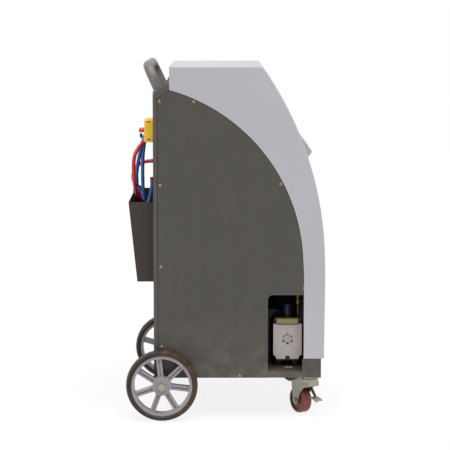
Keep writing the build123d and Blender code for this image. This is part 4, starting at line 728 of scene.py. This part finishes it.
grid_piece("panel_seam_shade", seam_shade_grids(), seam_shade_black, smooth=False)

# Gauge dials: scale marks and a coloured band on the slope of the control panel
SLOPE_OUT = np.array([0.883201, 0.0, 0.468995])
SLOPE_UP = np.array([-0.468995, 0.0, 0.883201])
ACROSS = np.array([0.0, 1.0, 0.0])
GAUGES = {"low": (0.15667, -0.132, 0.88629), "high": (0.15667, 0.132, 0.88629)}


def dial_place(gauge, radius, degrees, height):
    """Point on a dial: distance from its middle, angle anticlockwise from the right, height over the slope."""
    angle = np.radians(np.asarray(degrees, float))[..., None]
    flat = np.cos(angle) * ACROSS + np.sin(angle) * SLOPE_UP
    return np.asarray(GAUGES[gauge]) + np.asarray(radius)[..., None] * flat + height * SLOPE_OUT


def scale_marks(gauge):
    """Ticks from 225 to -45 degrees, every third one longer, as thin raised plates."""
    grids = []
    for number in range(28):
        middle = 225.0 - 10.0 * number
        long_mark = number % 3 == 0
        inner = 0.0255 if long_mark else 0.0285
        width = 1.5 if long_mark else 0.8
        degrees = np.array([[middle - width] * 2, [middle + width] * 2])
        radius = np.array([[inner, 0.0315], [inner, 0.0315]])
        grids.append(dial_place(gauge, radius, degrees, -0.0068))
    return grids


def colour_band(gauge, first, last):
    """Flat ring sector between two angles, just over the dial."""
    degrees = np.linspace(first, last, 40)[:, None] * np.ones((1, 2))
    radius = np.ones((40, 1)) * np.array([[0.0325, 0.0345]])
    return [dial_place(gauge, radius, degrees, -0.0067)]


for gauge, band_finish, band_slot in (("low", blue_plastic, "blue_plastic"),
                                      ("high", red_plastic, "red_plastic")):
    grid_piece(gauge + "_dial_marks", scale_marks(gauge), black_plastic, smooth=False)
    grid_piece(gauge + "_dial_band", colour_band(gauge, 225.0, -45.0), band_finish, smooth=False)


# Pressed hood over each louvre in the rear panel
def louvre_hood(y, z):
    """Quarter-round lip over a slot: it rises from flat at its ends as a sine and turns down over the slot."""
    u = np.linspace(0.0, 1.0, 19)[:, None]
    v = np.linspace(0.0, 1.0, 7)[None]
    rise = np.sin(pi * u) ** 0.45
    swell = 0.0052 * rise * np.sin(v * pi / 2)
    drop = 0.0085 * v
    grid = np.empty((19, 7, 3))
    grid[..., 0] = BACK_X + 0.0001 - swell
    grid[..., 1] = y - 0.043 + 0.086 * u
    grid[..., 2] = z + 0.0045 - drop
    return grid


hoods = grid_piece("louvre_hoods", [louvre_hood(side * 0.052, 0.256 + 0.017 * row)
                                    for side in (-1, 1) for row in range(-5, 6)], strip_grey)
wall = hoods.modifiers.new("sheet", "SOLIDIFY")
wall.thickness = 0.001
wall.offset = 0.0


# Floor, world, lamps and camera
def pale_floor():
    """Pale ground that reads as the white background, with the soft shadow kept."""
    material = bpy.data.materials.new("pale floor")
    material.use_nodes = True
    tree = material.node_tree
    tree.nodes.clear()
    start = Wire(tree)
    seen = start.node("ShaderNodeLightPath", None, None, 0)
    ray = seen.socket.node
    seen = Wire(tree, ray.outputs["Is Camera Ray"])
    glossy = Wire(tree, ray.outputs["Is Glossy Ray"])
    through = Wire(tree, ray.outputs["Is Transmission Ray"])
    matte = start.node("ShaderNodeBsdfDiffuse", None, {"Color": (0.80, 0.80, 0.80, 1.0)})
    glow = start.node("ShaderNodeEmission", None, {"Color": (1.0, 1.0, 1.0, 1.0), "Strength": 1.0})
    share = (seen + through + glossy * GLOSS_LEVEL).clamp() * 0.86
    mixed = start.node("ShaderNodeMixShader", None, {0: share, 1: matte, 2: glow})
    end = tree.nodes.new("ShaderNodeOutputMaterial")
    tree.links.new(mixed.socket, end.inputs["Surface"])
    mesh = bpy.data.meshes.new("floor")
    mesh.from_pydata([(-9, -9, 0), (9, -9, 0), (9, 9, 0), (-9, 9, 0)], [], [(0, 1, 2, 3)])
    floor = bpy.data.objects.new("floor", mesh)
    bpy.context.collection.objects.link(floor)
    mesh.materials.append(material)


def white_world():
    """White to the camera and through glass, paler in gloss, and a plain soft level for the light itself."""
    world = bpy.data.worlds.new("studio")
    bpy.context.scene.world = world
    world.use_nodes = True
    tree = world.node_tree
    tree.nodes.clear()
    start = Wire(tree)
    ray = start.node("ShaderNodeLightPath").socket.node
    seen = Wire(tree, ray.outputs["Is Camera Ray"])
    direct = (seen + Wire(tree, ray.outputs["Is Transmission Ray"])).clamp()
    glossy = Wire(tree, ray.outputs["Is Glossy Ray"])
    level = LIGHT_LEVEL + direct * (1.0 - LIGHT_LEVEL) + glossy * (GLOSS_LEVEL - LIGHT_LEVEL)
    sky = start.node("ShaderNodeBackground", None, {"Color": (1.0, 1.0, 1.0, 1.0), "Strength": level})
    end = tree.nodes.new("ShaderNodeOutputWorld")
    tree.links.new(sky.socket, end.inputs["Surface"])


LIGHT_LEVEL = 0.52
GLOSS_LEVEL = 0.75


def soft_sun(name, strength, spread, elevation, azimuth):
    """Broad lamp from a height and a compass angle, 0 from the camera's side and 90 from the front."""
    data = bpy.data.lights.new(name, "SUN")
    data.energy = strength
    data.angle = radians(spread)
    lamp = bpy.data.objects.new(name, data)
    bpy.context.collection.objects.link(lamp)
    lamp.rotation_euler = (radians(90.0 - elevation), 0.0, radians(azimuth))


pale_floor()
white_world()
soft_sun("key", 3.0, 50.0, 70.0, 15.0)
soft_sun("fill", 0.5, 60.0, 25.0, -150.0)

camera_data = bpy.data.cameras.new("camera")
camera_data.lens = 140.0
camera_data.sensor_width = 36.0
camera = bpy.data.objects.new("camera", camera_data)
bpy.context.collection.objects.link(camera)
camera.location = (-0.0093, -5.0747, 1.1434)
camera.rotation_euler = (radians(90.0 - 7.061), 0.0, radians(-0.090))
bpy.context.scene.camera = camera
bpy.context.scene.view_settings.view_transform = "Standard"
